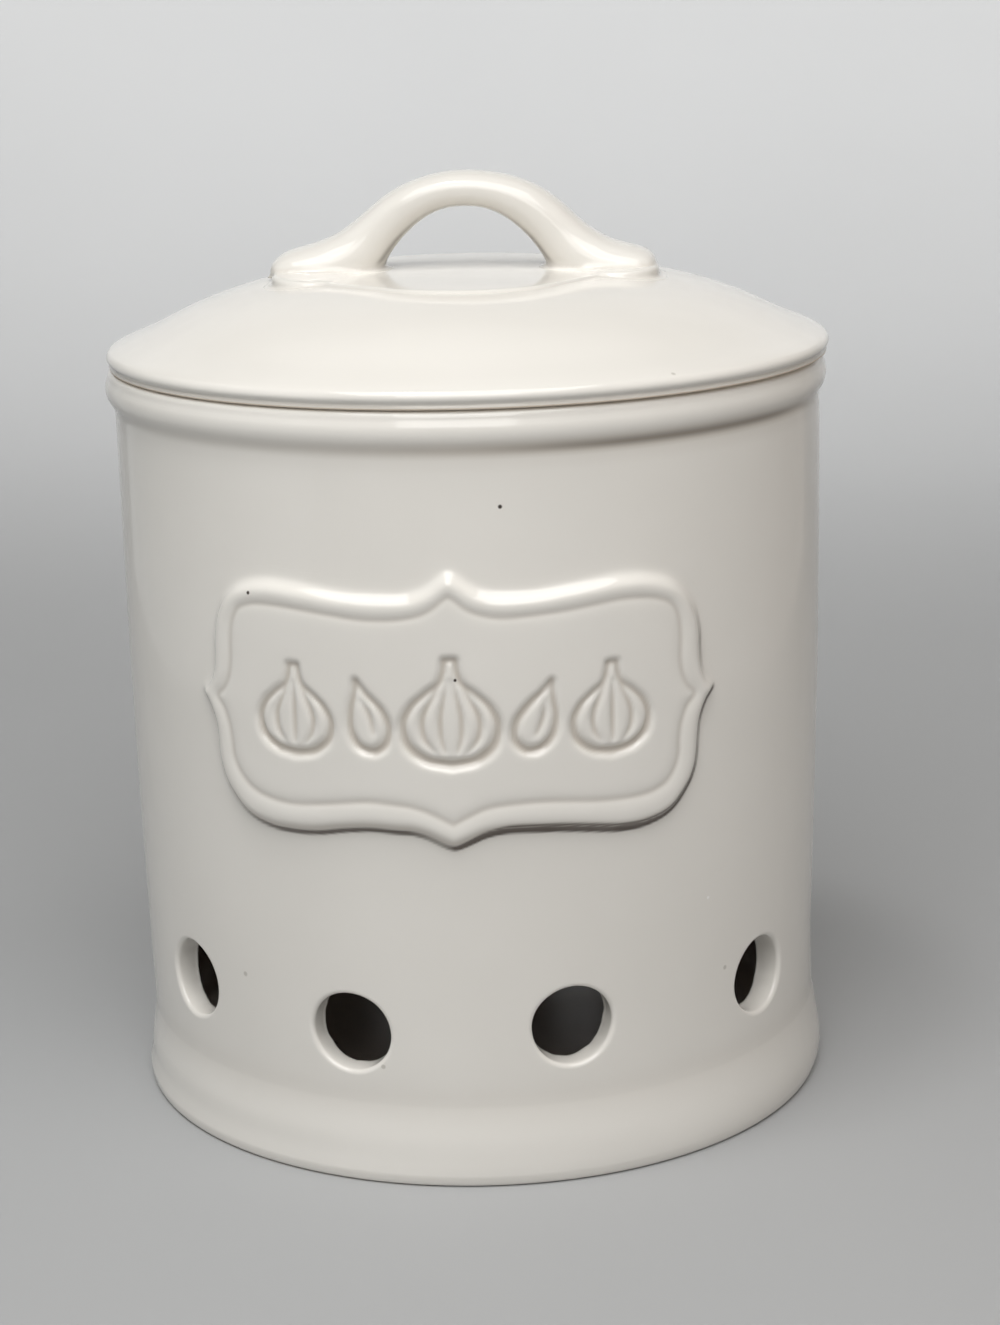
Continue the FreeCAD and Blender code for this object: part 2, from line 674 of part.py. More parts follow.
# ----------------------------------------------------------------------------------------
# Check and write
# ----------------------------------------------------------------------------------------
doc.recompute()
NODES = {
    "vessel": vessel,
    "label_plaque": plaque,
    "lid": lid,
    "handle_pad": pad,
    "lid_handle": handle,
}
for obj in doc.Objects:
    bad = [s for s in obj.State if s in ("Invalid", "Error")]
    if bad:
        raise RuntimeError("%s is %s" % (obj.Name, bad))
for node, obj in NODES.items():
    shape = obj.Shape
    if shape.isNull() or not shape.isValid():
        raise RuntimeError("%s has no valid shape" % node)
    box = shape.BoundBox
    print("%-14s solids %d  volume %9.1f  x %.2f..%.2f  y %.2f..%.2f  z %.2f..%.2f" % (
        node, len(shape.Solids), shape.Volume, box.XMin, box.XMax, box.YMin, box.YMax,
        box.ZMin, box.ZMax))
os.makedirs("parts", exist_ok=True)
for node, obj in NODES.items():
    obj.Shape.exportStep("parts/%s.step" % node)
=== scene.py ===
import math

import bpy
import numpy as np
from mathutils import Matrix, Vector


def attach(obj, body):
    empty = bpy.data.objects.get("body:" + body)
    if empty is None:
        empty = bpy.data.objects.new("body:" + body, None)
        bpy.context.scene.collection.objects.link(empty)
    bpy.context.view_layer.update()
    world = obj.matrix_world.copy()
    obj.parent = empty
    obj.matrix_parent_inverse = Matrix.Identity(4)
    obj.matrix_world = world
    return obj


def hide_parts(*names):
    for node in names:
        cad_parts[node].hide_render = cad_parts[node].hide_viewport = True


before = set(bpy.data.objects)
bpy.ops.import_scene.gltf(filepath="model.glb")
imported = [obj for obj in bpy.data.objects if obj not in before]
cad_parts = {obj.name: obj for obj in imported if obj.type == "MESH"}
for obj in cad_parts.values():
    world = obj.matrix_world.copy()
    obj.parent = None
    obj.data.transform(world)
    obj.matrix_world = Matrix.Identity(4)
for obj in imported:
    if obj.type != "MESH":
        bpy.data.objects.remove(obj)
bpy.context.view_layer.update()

MM = 0.001
COLUMNS = 240          # columns round the pot, 24 to each vent hole's sector

# ----------------------------------------------------------------------------------------
# Profiles: paths of (radius, height) in millimetres
# ----------------------------------------------------------------------------------------


def rounded(corners, step=0.2):
    """Path through corners (r, z, rounding), sampled every step."""
    pts = [np.array(c[:2], float) for c in corners]
    out = [pts[0]]
    for i in range(1, len(pts) - 1):
        a, b, c, rad = pts[i - 1], pts[i], pts[i + 1], corners[i][2]
        u, v = a - b, c - b
        lu, lv = np.linalg.norm(u), np.linalg.norm(v)
        u, v = u / lu, v / lv
        ang = math.acos(max(-1.0, min(1.0, float(u @ v))))
        turn = math.pi - ang
        if rad <= 0 or turn < 1e-3:
            out.append(b)
            continue
        cut = rad * math.tan(turn / 2)
        limit = 0.49 * min(lu, lv)
        if cut > limit:
            cut = limit
            rad = cut / math.tan(turn / 2)
        p, q = b + u * cut, b + v * cut
        bis = (u + v) / np.linalg.norm(u + v)
        o = b + bis * rad / math.cos(turn / 2)
        a0 = math.atan2(*(p - o)[::-1])
        a1 = math.atan2(*(q - o)[::-1])
        d = (a1 - a0 + math.pi) % (2 * math.pi) - math.pi
        n = max(4, int(abs(d) * rad / step) + 1)
        for k in range(n + 1):
            t = a0 + d * k / n
            out.append(o + rad * np.array([math.cos(t), math.sin(t)]))
    out.append(pts[-1])
    return np.array(out)


def resample(path, step):
    seg = np.r_[0, np.cumsum(np.linalg.norm(np.diff(path, axis=0), axis=1))]
    n = max(2, int(round(seg[-1] / step)) + 1)
    s = np.linspace(0, seg[-1], n)
    return np.stack([np.interp(s, seg, path[:, 0]), np.interp(s, seg, path[:, 1])], 1)


def soften(path, sigma, step=0.2):
    """Lets the path flow like glaze: its corners are blurred over sigma, its ends stay."""
    p = resample(path, step)
    k = int(3 * sigma / step) + 1
    x = np.arange(-k, k + 1) * step
    w = np.exp(-0.5 * (x / sigma) ** 2)
    w /= w.sum()
    head = 2 * p[0] - p[1:k + 1][::-1]
    tail = 2 * p[-1] - p[-k - 1:-1][::-1]
    q = np.vstack([head, p, tail])
    out = np.stack([np.convolve(q[:, j], w, mode="valid") for j in (0, 1)], 1)
    out[0], out[-1] = p[0], p[-1]
    return out


def thin_out(path, longest, turn_deg=4.0, shortest=0.22):
    """Keeps the points a smooth shade needs: close together where the path turns."""
    keep = [0]
    acc = 0.0
    for i in range(1, len(path) - 1):
        d0 = path[i] - path[i - 1]
        d1 = path[i + 1] - path[i]
        t = abs(math.degrees(math.atan2(d0[0] * d1[1] - d0[1] * d1[0], float(d0 @ d1))))
        acc += t
        gap = np.linalg.norm(path[i] - path[keep[-1]])
        if gap >= longest or (acc >= turn_deg and gap >= shortest):
            keep.append(i)
            acc = 0.0
    keep.append(len(path) - 1)
    return path[keep]


def arc(r, z, radius, start, end):
    """Corners along an arc about (r, z), angles in degrees from straight outwards."""
    n = max(2, int(abs(end - start) / 6.0))
    return [(r + radius * math.cos(math.radians(t)), z + radius * math.sin(math.radians(t)), 0)
            for t in np.linspace(start, end, n + 1)]


# outside of the vessel, from the inner edge of the foot ring up to the rim's inner edge
OUTSIDE = soften(rounded(
    [(61.8, 0.0, 0), (68.7, 0.0, 0.7), (69.14, 2.2, 2.0), (68.86, 5.0, 3.0), (68.64, 8.0, 4.5),
     (67.95, 12.0, 4.5), (67.48, 15.4, 5.5), (67.52, 20.0, 20.0), (67.62, 30.0, 60.0),
     (68.0, 50.0, 200.0), (68.35, 70.0, 200.0), (68.56, 90.0, 200.0), (68.56, 110.0, 200.0),
     (68.50, 131.0, 60.0)]
    + arc(71.93, 135.97, 3.5, 180, 144) + arc(65.7, 140.5, 4.2, -36, 32)
    + [(69.3, 143.4, 0.8), (68.95, 143.98, 0.4), (68.3, 144.32, 0.5), (66.9, 144.4, 0.5),
       (65.6, 144.4, 0)]), 0.36)
INSIDE = soften(rounded([
    (65.6, 144.4, 0), (64.25, 144.4, 0.8), (62.5, 7.2, 9.0), (0.0, 7.2, 0),
]), 0.4)
UNDER = soften(rounded([
    (0.0, 2.5, 0), (58.3, 2.4, 1.2), (60.3, 0.0, 0.5), (61.8, 0.0, 0),
]), 0.25)

# heights between which the walls are made of the vent holes' patches
HOLE_LOW, HOLE_HIGH = 18.0, 42.0
WALL_ROWS = OUTSIDE[(OUTSIDE[:, 1] > 6.0) & (OUTSIDE[:, 1] < 143.0)]
BORE_ROWS = INSIDE[(INSIDE[:, 0] > 61.0) & (INSIDE[:, 1] > 15.0) & (INSIDE[:, 1] < 143.0)]


# the pot leans and bulges a little: how far each height sits towards LEAN_WAY, in mm
LEAN_Z = [0, 1, 2, 3, 4, 5, 6, 7, 8, 10, 12, 14, 16, 18, 20, 23, 26, 30, 40, 60, 90, 110, 120,
          132, 134, 136, 138, 142, 146]
LEAN = [0.28, 0.38, 0.46, 0.65, 0.80, 0.84, 0.81, 0.74, 0.67, 0.63, 0.65, 0.60, 0.49, 0.43, 0.39,
        0.32, 0.26, 0.20, 0.16, 0.18, 0.14, 0.13, 0.09, 0.06, 0.03, -0.06, -0.17, -0.19, -0.1]
LEAN_WAY = math.radians(93.54)


def wobble(theta, z):
    """The slight unevenness of a cast and glazed wall, in millimetres outwards."""
    w = (0.045 * np.sin(2 * theta + 0.6) + 0.030 * np.sin(5 * theta + 0.045 * z + 1.1)
         + 0.022 * np.sin(9 * theta - 0.07 * z + 0.3) + 0.020 * np.sin(0.085 * z + 2.0 * theta)
         + 0.012 * np.sin(14 * theta + 0.13 * z) - 0.06)
    return (w * np.clip(z / 10.0, 0, 1) * np.clip((146.0 - z) / 12.0, 0.15, 1)
            + np.interp(z, LEAN_Z, LEAN) * np.cos(theta - LEAN_WAY))


TILT = 0.29


def mouth_tilt(theta):
    """The mouth dips a little to the left, and the lid's edge with it."""
    return TILT * np.sin(theta)


def wall_radius(theta, z):
    z = np.asarray(z, float)
    return np.interp(z, WALL_ROWS[:, 1], WALL_ROWS[:, 0]) + wobble(theta, z)


def bore_radius(z):
    order = np.argsort(BORE_ROWS[:, 1])
    return np.interp(z, BORE_ROWS[order, 1], BORE_ROWS[order, 0])


def polar(theta, r, z):
    """theta is measured from the plaque (-Y) towards +X."""
    theta, r, z = np.broadcast_arrays(theta, r, z)
    return np.stack([r * np.sin(theta), -r * np.cos(theta), z], -1)


# ----------------------------------------------------------------------------------------
# Mesh building
# ----------------------------------------------------------------------------------------


class Builder:
    def __init__(self):
        self.v, self.f, self.m, self.count = [], [], [], 0

    def grid(self, points, closed=False, flip=False, material=0):
        """points (rows, columns, 3): quads between neighbours."""
        rows, cols = points.shape[:2]
        base = self.count
        self.v.append(points.reshape(-1, 3))
        self.count += rows * cols
        c = np.arange(cols if closed else cols - 1)
        d = (c + 1) % cols
        for i in range(rows - 1):
            a, b = base + i * cols, base + (i + 1) * cols
            quad = np.stack([a + c, a + d, b + d, b + c], 1)
            if flip:
                quad = quad[:, ::-1]
            self.f.extend(quad.tolist())
            mat = material[i] if hasattr(material, "__len__") else material
            self.m.extend([mat] * len(c))

    def fan(self, ring, centre, flip=False, material=0):
        base = self.count
        self.v.append(np.vstack([ring, centre[None]]))
        n = len(ring)
        self.count += n + 1
        for i in range(n):
            tri = [base + i, base + (i + 1) % n, base + n]
            self.f.append(tri[::-1] if flip else tri)
            self.m.append(material)

    def soup(self, verts, faces, material=0):
        base = self.count
        self.v.append(verts)
        self.count += len(verts)
        self.f.extend((np.asarray(faces) + base).tolist())
        self.m.extend([material] * len(faces))

    def object(self, name, weld=2e-6):
        import bmesh
        verts = np.vstack(self.v) * MM
        mesh = bpy.data.meshes.new(name)
        mesh.from_pydata(verts.tolist(), [], self.f)
        mesh.polygons.foreach_set("material_index", self.m)
        if weld:
            bm = bmesh.new()
            bm.from_mesh(mesh)
            bmesh.ops.remove_doubles(bm, verts=bm.verts, dist=weld)
            bm.to_mesh(mesh)
            bm.free()
        mesh.validate()
        mesh.polygons.foreach_set("use_smooth", [True] * len(mesh.polygons))
        mesh.update()
        obj = bpy.data.objects.new(name, mesh)
        bpy.context.scene.collection.objects.link(obj)
        return obj


def set_tone(obj, values, name="tone"):
    """A number for each vertex that the materials read: 0 plain, up to 1 the darker, warmer colour,
    which is glaze pooling in hollows in some places and painted shade in others.
    """
    att = obj.data.attributes.new(name, "FLOAT", "POINT")
    att.data.foreach_set("value", np.asarray(values, np.float32))


def set_line(obj, values):
    """How dark the thin lines are: 0 none, up to 1 nearly black-brown. Under the plaque's ridge,
    along its crease and under the rim the lines are painted shade.
    """
    set_tone(obj, values, "line")


def vertices(obj):
    co = np.zeros(len(obj.data.vertices) * 3)
    obj.data.vertices.foreach_get("co", co)
    return co.reshape(-1, 3) / MM


# ----------------------------------------------------------------------------------------
# Vessel
# ----------------------------------------------------------------------------------------
# Hand-cut vent holes: angle from the plaque, height, clear radius
HOLES = [
    (17.7, 30.1, 7.55), (55.2, 30.0, 7.5), (90.6, 29.7, 7.5), (125.5, 30.4, 7.45),
    (162.4, 29.9, 7.55), (198.7, 30.3, 7.5), (233.6, 29.6, 7.5), (270.9, 30.2, 7.55),
    (308.9, 31.0, 7.5), (342.5, 28.9, 7.55),
]
LIP = 0.85


def rim_square(n_cols, n_rows, w, low, high):
    """Points round a rectangle, anticlockwise from its lower left corner."""
    xs = np.linspace(-w, w, n_cols + 1)
    zs = np.linspace(low, high, n_rows + 1)
    bottom = [(x, low) for x in xs[:-1]]
    right = [(w, z) for z in zs[:-1]]
    top = [(x, high) for x in xs[::-1][:-1]]
    left = [(-w, z) for z in zs[::-1][:-1]]
    return np.array(bottom + right + top + left)


def hole_patch(build, k):
    sector = math.radians(18 + 36 * k)
    angle, height, clear = HOLES[k]
    half = math.radians(18.0)
    r_nom = 67.2
    square = rim_square(24, 14, half, HOLE_LOW, HOLE_HIGH)      # (angle, height)
    off = math.radians(angle) - sector
    off = (off + math.pi) % (2 * math.pi) - math.pi
    local = np.stack([(square[:, 0] - off) * r_nom, square[:, 1] - height], 1)
    phi = np.unwrap(np.arctan2(local[:, 1], local[:, 0]))
    even = phi[0] + np.arange(len(phi)) * 2 * math.pi / len(phi)
    even += (phi - even).mean()
    phi = 0.45 * phi + 0.55 * even
    # a wire-cut hole: not quite round, and less so inside
    s = 1.7 * k
    outer_shape = (1 + 0.010 * np.sin(2 * phi + s) + 0.006 * np.sin(3 * phi + 2 * s)
                   + 0.003 * np.sin(5 * phi - s))
    inner_shape = (outer_shape + 0.010 * np.sin(3 * phi + 3 * s) + 0.008 * np.sin(7 * phi + s)
                   + 0.006 * np.sin(12 * phi + 2.3 * s) + 0.004 * np.sin(19 * phi + s))
    big = (clear + LIP) * outer_shape
    axis = math.radians(angle)

    def on_wall(xy, inner=False):
        """(angle from the hole's axis * r_nom, height from the sector's zero) on a wall."""
        th = axis + xy[:, 0] / r_nom
        z = xy[:, 1] + height
        r = bore_radius(z) if inner else wall_radius(th, z)
        return polar(th, r, z)

    ring = np.stack([big * np.cos(phi), big * np.sin(phi)], 1)
    rows = []
    n = 12
    for i in range(n + 1):
        t = 1 - (1 - i / n) ** 1.7
        t = i / n * 0.35 + t * 0.65
        rows.append(on_wall(local * (1 - t) + ring * t))
    outer = np.stack(rows)
    build.grid(outer, closed=True)

    # the lip and the tube, in the hole's own frame: a outwards, t across, z up
    a_dir = np.array([math.sin(axis), -math.cos(axis), 0.0])
    t_dir = np.array([math.cos(axis), math.sin(axis), 0.0])
    edge = outer[-1]
    a_out = edge @ a_dir
    z_dir = np.array([0.0, 0.0, 1.0])
    clear_r = clear * outer_shape
    tube = [edge]
    for i in range(1, 8):
        q = math.pi / 2 * i / 7
        r = clear_r + LIP * (1 - math.sin(q))
        depth = LIP * (1 - math.cos(q))
        tube.append(a_dir * (a_out - depth)[:, None] + t_dir * (r * np.cos(phi))[:, None]
                    + z_dir * (r * np.sin(phi) + height)[:, None])
    end_r = clear * inner_shape * 0.992
    end = np.stack([end_r * np.cos(phi), end_r * np.sin(phi)], 1)
    inner_r = end_r + 0.3
    z_in = inner_r * np.sin(phi) + height
    a_in = np.sqrt(bore_radius(z_in) ** 2 - (inner_r * np.cos(phi)) ** 2)
    a_stop = a_in + 0.3
    a_start = a_out - LIP
    for i in range(1, 7):
        f = i / 6
        r = clear_r * (1 - f ** 1.5) + end_r * f ** 1.5
        a = a_start * (1 - f) + a_stop * f
        tube.append(a_dir * a[:, None] + t_dir * (r * np.cos(phi))[:, None]
                    + z_dir * (r * np.sin(phi) + height)[:, None])
    ring_in = np.stack([inner_r * np.cos(phi), inner_r * np.sin(phi)], 1)
    tube.append(on_wall(ring_in, inner=True))
    tube = np.stack(tube)
    build.grid(tube, closed=True)
    rows = []
    for i in range(6):
        t = i / 5
        rows.append(on_wall(ring_in * (1 - t) + local * t, inner=True))
    inside = np.stack(rows)
    build.grid(inside, closed=True)


def make_vessel():
    theta = np.linspace(0, 2 * math.pi, COLUMNS, endpoint=False)
    build = Builder()

    def ring(path, uneven):
        r = np.repeat(path[:, :1], COLUMNS, 1)
        z = np.repeat(path[:, 1:], COLUMNS, 1)
        if uneven:
            # the two ends of the outside, on the rim and under the foot, stay true
            r = r + wobble(theta[None], z) * np.clip((r - 65.6) / 1.2, 0, 1)
        z = z + mouth_tilt(theta[None]) * smoothstep(124.0, 142.0, z)
        return polar(theta[None], r, z)

    # columns must meet the patches' edges, which start at angle 0
    low = OUTSIDE[OUTSIDE[:, 1] <= HOLE_LOW]
    low = low[:np.argmax(low[:, 1]) + 1]
    low = np.vstack([low, [[np.interp(HOLE_LOW, WALL_ROWS[:, 1], WALL_ROWS[:, 0]), HOLE_LOW]]])
    high = OUTSIDE[OUTSIDE[:, 1] >= HOLE_HIGH]
    high = np.vstack([[[np.interp(HOLE_HIGH, WALL_ROWS[:, 1], WALL_ROWS[:, 0]), HOLE_HIGH]],
                      high])
    low = thin_out(low, 1.6)
    high = thin_out(high, 2.2)
    # z of the foot's flat underside is exact, so the wobble there is nil
    build.grid(ring(low, True), closed=True)
    build.grid(ring(high, True), closed=True)
    for k in range(10):
        hole_patch(build, k)
    top = INSIDE[(INSIDE[:, 1] >= HOLE_HIGH)]
    top = np.vstack([top, [[bore_radius(HOLE_HIGH), HOLE_HIGH]]])
    bottom = INSIDE[(INSIDE[:, 1] <= HOLE_LOW)]
    bottom = np.vstack([[[bore_radius(HOLE_LOW), HOLE_LOW]], bottom])
    top, bottom = thin_out(top, 4.0), thin_out(bottom, 4.0)
    build.grid(ring(top, False), closed=True)
    inner = ring(bottom[:-1], False)
    build.grid(inner, closed=True)
    build.fan(inner[-1], np.array([0.0, 0.0, 7.2]))
    under = thin_out(UNDER, 4.0)
    below = ring(under[1:], False)
    build.grid(below, closed=True)
    build.fan(below[0], np.array([0.0, 0.0, 2.5]), flip=True)
    obj = build.object("vessel_pot")
    return obj


# ----------------------------------------------------------------------------------------
# Signed distance to closed outlines, for the plaque and its ornament
# ----------------------------------------------------------------------------------------


def smooth_loop(points, n=14, closed=True):
    """Centripetal-looking Catmull-Rom curve through the points. A point given as
    (x, y, 1) is a sharp corner."""
    pts = [np.array(p[:2], float) for p in points]
    sharp = [len(p) > 2 and bool(p[2]) for p in points]
    m = len(pts)
    out = []
    last = m if closed else m - 1
    for i in range(last):
        p1, p2 = pts[i], pts[(i + 1) % m]
        p0 = pts[(i - 1) % m] if (closed or i > 0) else 2 * p1 - p2
        p3 = pts[(i + 2) % m] if (closed or i + 2 < m) else 2 * p2 - p1
        l0, l1, l2 = (np.linalg.norm(p1 - p0) + 1e-9, np.linalg.norm(p2 - p1) + 1e-9,
                      np.linalg.norm(p3 - p2) + 1e-9)
        m1 = (p2 - p0) / (l0 + l1) * l1
        m2 = (p3 - p1) / (l1 + l2) * l1
        if sharp[i]:
            m1 = (p2 - p1) * 1.0
        if sharp[(i + 1) % m]:
            m2 = (p2 - p1) * 1.0
        t = (np.arange(n) / n)[:, None]
        out.append((2 * t ** 3 - 3 * t ** 2 + 1) * p1 + (t ** 3 - 2 * t ** 2 + t) * m1
                   + (-2 * t ** 3 + 3 * t ** 2) * p2 + (t ** 3 - t ** 2) * m2)
    if not closed:
        out.append(pts[-1][None])
    return np.vstack(out)


def segment_distance(px, py, loop, closed=True, width=None):
    """Distance from points to a polyline; with width, less the stroke's half width."""
    shape = px.shape
    p = np.stack([px.ravel(), py.ravel()], 1)
    a = loop
    b = np.roll(loop, -1, 0)
    if not closed:
        a, b = loop[:-1], loop[1:]
    ab = b - a
    best = np.full(len(p), 1e9)
    l2 = (ab ** 2).sum(1) + 1e-12
    for i in range(len(a)):
        ap = p - a[i]
        t = np.clip((ap @ ab[i]) / l2[i], 0, 1)
        d = np.hypot(ap[:, 0] - t * ab[i, 0], ap[:, 1] - t * ab[i, 1])
        if width is not None:
            w0, w1 = width[i], width[min(i + 1, len(width) - 1)]
            d = d - (w0 + (w1 - w0) * t)
        best = np.minimum(best, d)
    return best.reshape(shape)


def inside_mask(px, py, loop):
    inside = np.zeros(px.shape, bool)
    x0, y0 = loop[:, 0], loop[:, 1]
    x1, y1 = np.roll(x0, -1), np.roll(y0, -1)
    for i in range(len(loop)):
        if y0[i] == y1[i]:
            continue
        hit = (y0[i] > py) != (y1[i] > py)
        xi = x0[i] + (py - y0[i]) * (x1[i] - x0[i]) / (y1[i] - y0[i])
        inside ^= hit & (px < xi)
    return inside


def signed(px, py, loop):
    """Positive inside."""
    d = segment_distance(px, py, loop)
    return np.where(inside_mask(px, py, loop), d, -d)


def smoothstep(a, b, x):
    t = np.clip((x - a) / (b - a), 0, 1)
    return t * t * (3 - 2 * t)


def blur(field, sigma_cells):
    k = max(1, int(3 * sigma_cells))
    x = np.arange(-k, k + 1)
    w = np.exp(-0.5 * (x / sigma_cells) ** 2)
    w /= w.sum()
    out = field
    for axis in (0, 1):
        pad = [(k, k) if a == axis else (0, 0) for a in (0, 1)]
        q = np.pad(out, pad, mode="edge")
        acc = np.zeros_like(field)
        n = field.shape[axis]
        for j, wj in enumerate(w):
            sl = [slice(None), slice(None)]
            sl[axis] = slice(j, j + n)
            acc += wj * q[tuple(sl)]
        out = acc
    return out


# ----------------------------------------------------------------------------------------
# Plaque
# ----------------------------------------------------------------------------------------
PLAQUE_Z = 91.6
# steepest line of the ridge's outer side, clockwise from the top cusp: (across, up), and 1
# at a sharp corner
PLAQUE_EDGE = [
    (0.0, 23.7), (1.2, 23.15), (3.2, 21.7), (5.2, 20.6), (7.6, 19.95), (10.0, 19.8),
    (15.0, 19.9), (20.0, 20.5), (25.0, 21.1), (30.0, 21.6), (35.0, 21.3), (40.0, 19.8),
    (43.2, 17.2), (45.2, 13.8), (46.1, 10.0), (46.2, 6.5), (46.5, 3.6), (47.4, 1.2),
    (49.3, -0.9, 1), (47.6, -2.9), (46.2, -6.0), (45.7, -9.0), (45.5, -12.0), (45.0, -15.0),
    (43.6, -18.0), (40.0, -21.9), (35.0, -23.6), (30.0, -23.8), (25.0, -23.2), (20.0, -22.6),
    (15.0, -22.3), (10.0, -22.2), (7.3, -22.5), (5.0, -23.1), (2.8, -24.1), (1.1, -24.85),
    (0.0, -25.15), (-1.2, -24.8), (-3.0, -23.9), (-5.0, -23.0), (-7.5, -22.4),
    (-10.0, -22.3), (-15.0, -22.1), (-20.0, -22.6), (-25.0, -23.5), (-30.0, -23.8),
    (-35.0, -23.5), (-40.0, -21.8), (-43.9, -17.9), (-45.3, -15.0), (-46.0, -12.0),
    (-46.1, -9.0), (-46.5, -6.0), (-47.9, -3.0), (-49.5, -0.8, 1), (-47.6, 0.9),
    (-46.4, 3.2), (-46.0, 6.0), (-45.8, 9.5), (-45.0, 13.5), (-43.2, 17.0), (-40.0, 19.5),
    (-35.0, 20.9), (-30.0, 21.0), (-25.0, 20.5), (-20.0, 19.9), (-15.0, 19.6), (-10.0, 19.6),
    (-7.4, 19.8), (-5.0, 20.5), (-3.0, 21.6), (-1.2, 23.05),
]
# crease between the ridge and the field
PLAQUE_CREASE = [
    (0.0, 20.3), (1.3, 19.6), (3.0, 18.2), (5.0, 17.3), (7.5, 16.7), (10.0, 16.5),
    (15.0, 16.8), (20.0, 17.2), (25.0, 17.8), (30.0, 18.3), (35.0, 18.0), (38.0, 17.2),
    (40.0, 16.0), (41.2, 13.8), (41.7, 10.0), (41.6, 6.0), (42.0, 3.0), (43.0, 0.8),
    (44.6, -1.2), (43.0, -3.0), (41.7, -6.0), (41.2, -9.0), (41.0, -12.0), (40.0, -14.8),
    (38.2, -16.8), (35.0, -18.0), (30.0, -18.3), (25.0, -18.1), (20.0, -17.6), (15.0, -17.3),
    (10.0, -17.5), (7.3, -17.8), (5.0, -18.4), (2.6, -19.6), (0.0, -21.0, 1), (-2.6, -19.6),
    (-5.0, -18.5), (-7.5, -17.8), (-10.0, -17.5), (-15.0, -17.2), (-20.0, -17.8),
    (-25.0, -18.5), (-30.0, -18.9), (-35.0, -18.2), (-38.2, -16.8), (-40.4, -14.6),
    (-41.7, -12.0), (-42.0, -9.0), (-42.5, -6.0), (-43.6, -3.0), (-45.0, -1.0), (-43.4, 0.8),
    (-42.2, 3.0), (-41.6, 6.0), (-41.4, 10.0), (-41.0, 13.0), (-39.6, 15.8), (-38.0, 16.8),
    (-35.0, 17.5), (-30.0, 17.5), (-25.0, 17.1), (-20.0, 16.6), (-15.0, 16.1), (-10.0, 16.2),
    (-7.5, 16.5), (-5.0, 17.1), (-3.0, 18.1), (-1.4, 19.4),
]
RIDGE_TOP, CREASE_DROP, FIELD_RISE = 2.0, 0.34, 0.20


def garlic_bulb(px, py, cx, cy, k, lobes):
    """Grooves of a garlic bulb, as distance to the nearest groove's edge (mm, negative in
    the groove)."""
    def at(points):
        return [(cx + k * p[0], cy + k * p[1]) + tuple(p[2:]) for p in points]
    right = [(0.9, 10.0, 1), (1.25, 7.6), (2.0, 5.6), (4.4, 3.6), (7.0, 1.0), (8.4, -2.4),
             (7.6, -6.2), (4.6, -8.8), (1.2, -9.6)]
    left = [(-p[0] * 1.03, p[1]) + tuple(p[2:]) for p in reversed(right)]
    outline = smooth_loop(at(right + left), n=8)
    width = k * (0.62 + 0.42 * smoothstep(4, -9, (outline[:, 1] - cy) / k))
    d = segment_distance(px, py, outline, True, np.r_[width, width[0]])
    for x, strong in lobes:
        # clove seams run from the neck, swell out and close at the root plate
        seam = smooth_loop(at([(0.28 * x, 6.4), (0.55 * x, 3.6), (0.96 * x, -0.8),
                               (0.93 * x, -4.6), (0.55 * x, -7.6)]), n=8, closed=False)
        t = np.linspace(0, 1, len(seam))
        w = k * strong * (0.16 + 0.42 * np.sin(math.pi * t) ** 0.8)
        d = np.minimum(d, segment_distance(px, py, seam, False, w))
    root = smooth_loop(at([(-1.7, -10.2), (0, -10.6), (1.7, -10.2)]), n=6, closed=False)
    d = np.minimum(d, segment_distance(px, py, root, False,
                                       k * 0.34 * np.ones(len(root))))
    return d


def garlic_clove(px, py, cx, cy, k, lean):
    c, s = math.cos(lean), math.sin(lean)

    def at(points):
        out = []
        for p in points:
            x, y = p[0] * k, p[1] * k
            out.append((cx + x * c + y * s, cy - x * s + y * c) + tuple(p[2:]))
        return out
    loop = smooth_loop(at([(0.5, 7.0, 1), (1.5, 4.2), (3.2, 0.6), (3.5, -2.8), (2.0, -5.6),
                           (-0.4, -6.4), (-2.7, -5.0), (-3.4, -1.9), (-2.2, 1.8),
                           (-0.6, 4.6)]), n=8)
    t = np.linspace(0, 2 * math.pi, len(loop))
    w = k * (0.52 + 0.34 * np.sin(t / 2) ** 2)
    d = segment_distance(px, py, loop, True, np.r_[w, w[0]])
    rib = smooth_loop(at([(0.25, 3.4), (0.9, 0.2), (0.6, -3.2)]), n=8, closed=False)
    tt = np.linspace(0, 1, len(rib))
    return np.minimum(d, segment_distance(px, py, rib, False,
                                          k * (0.1 + 0.3 * np.sin(math.pi * tt))))


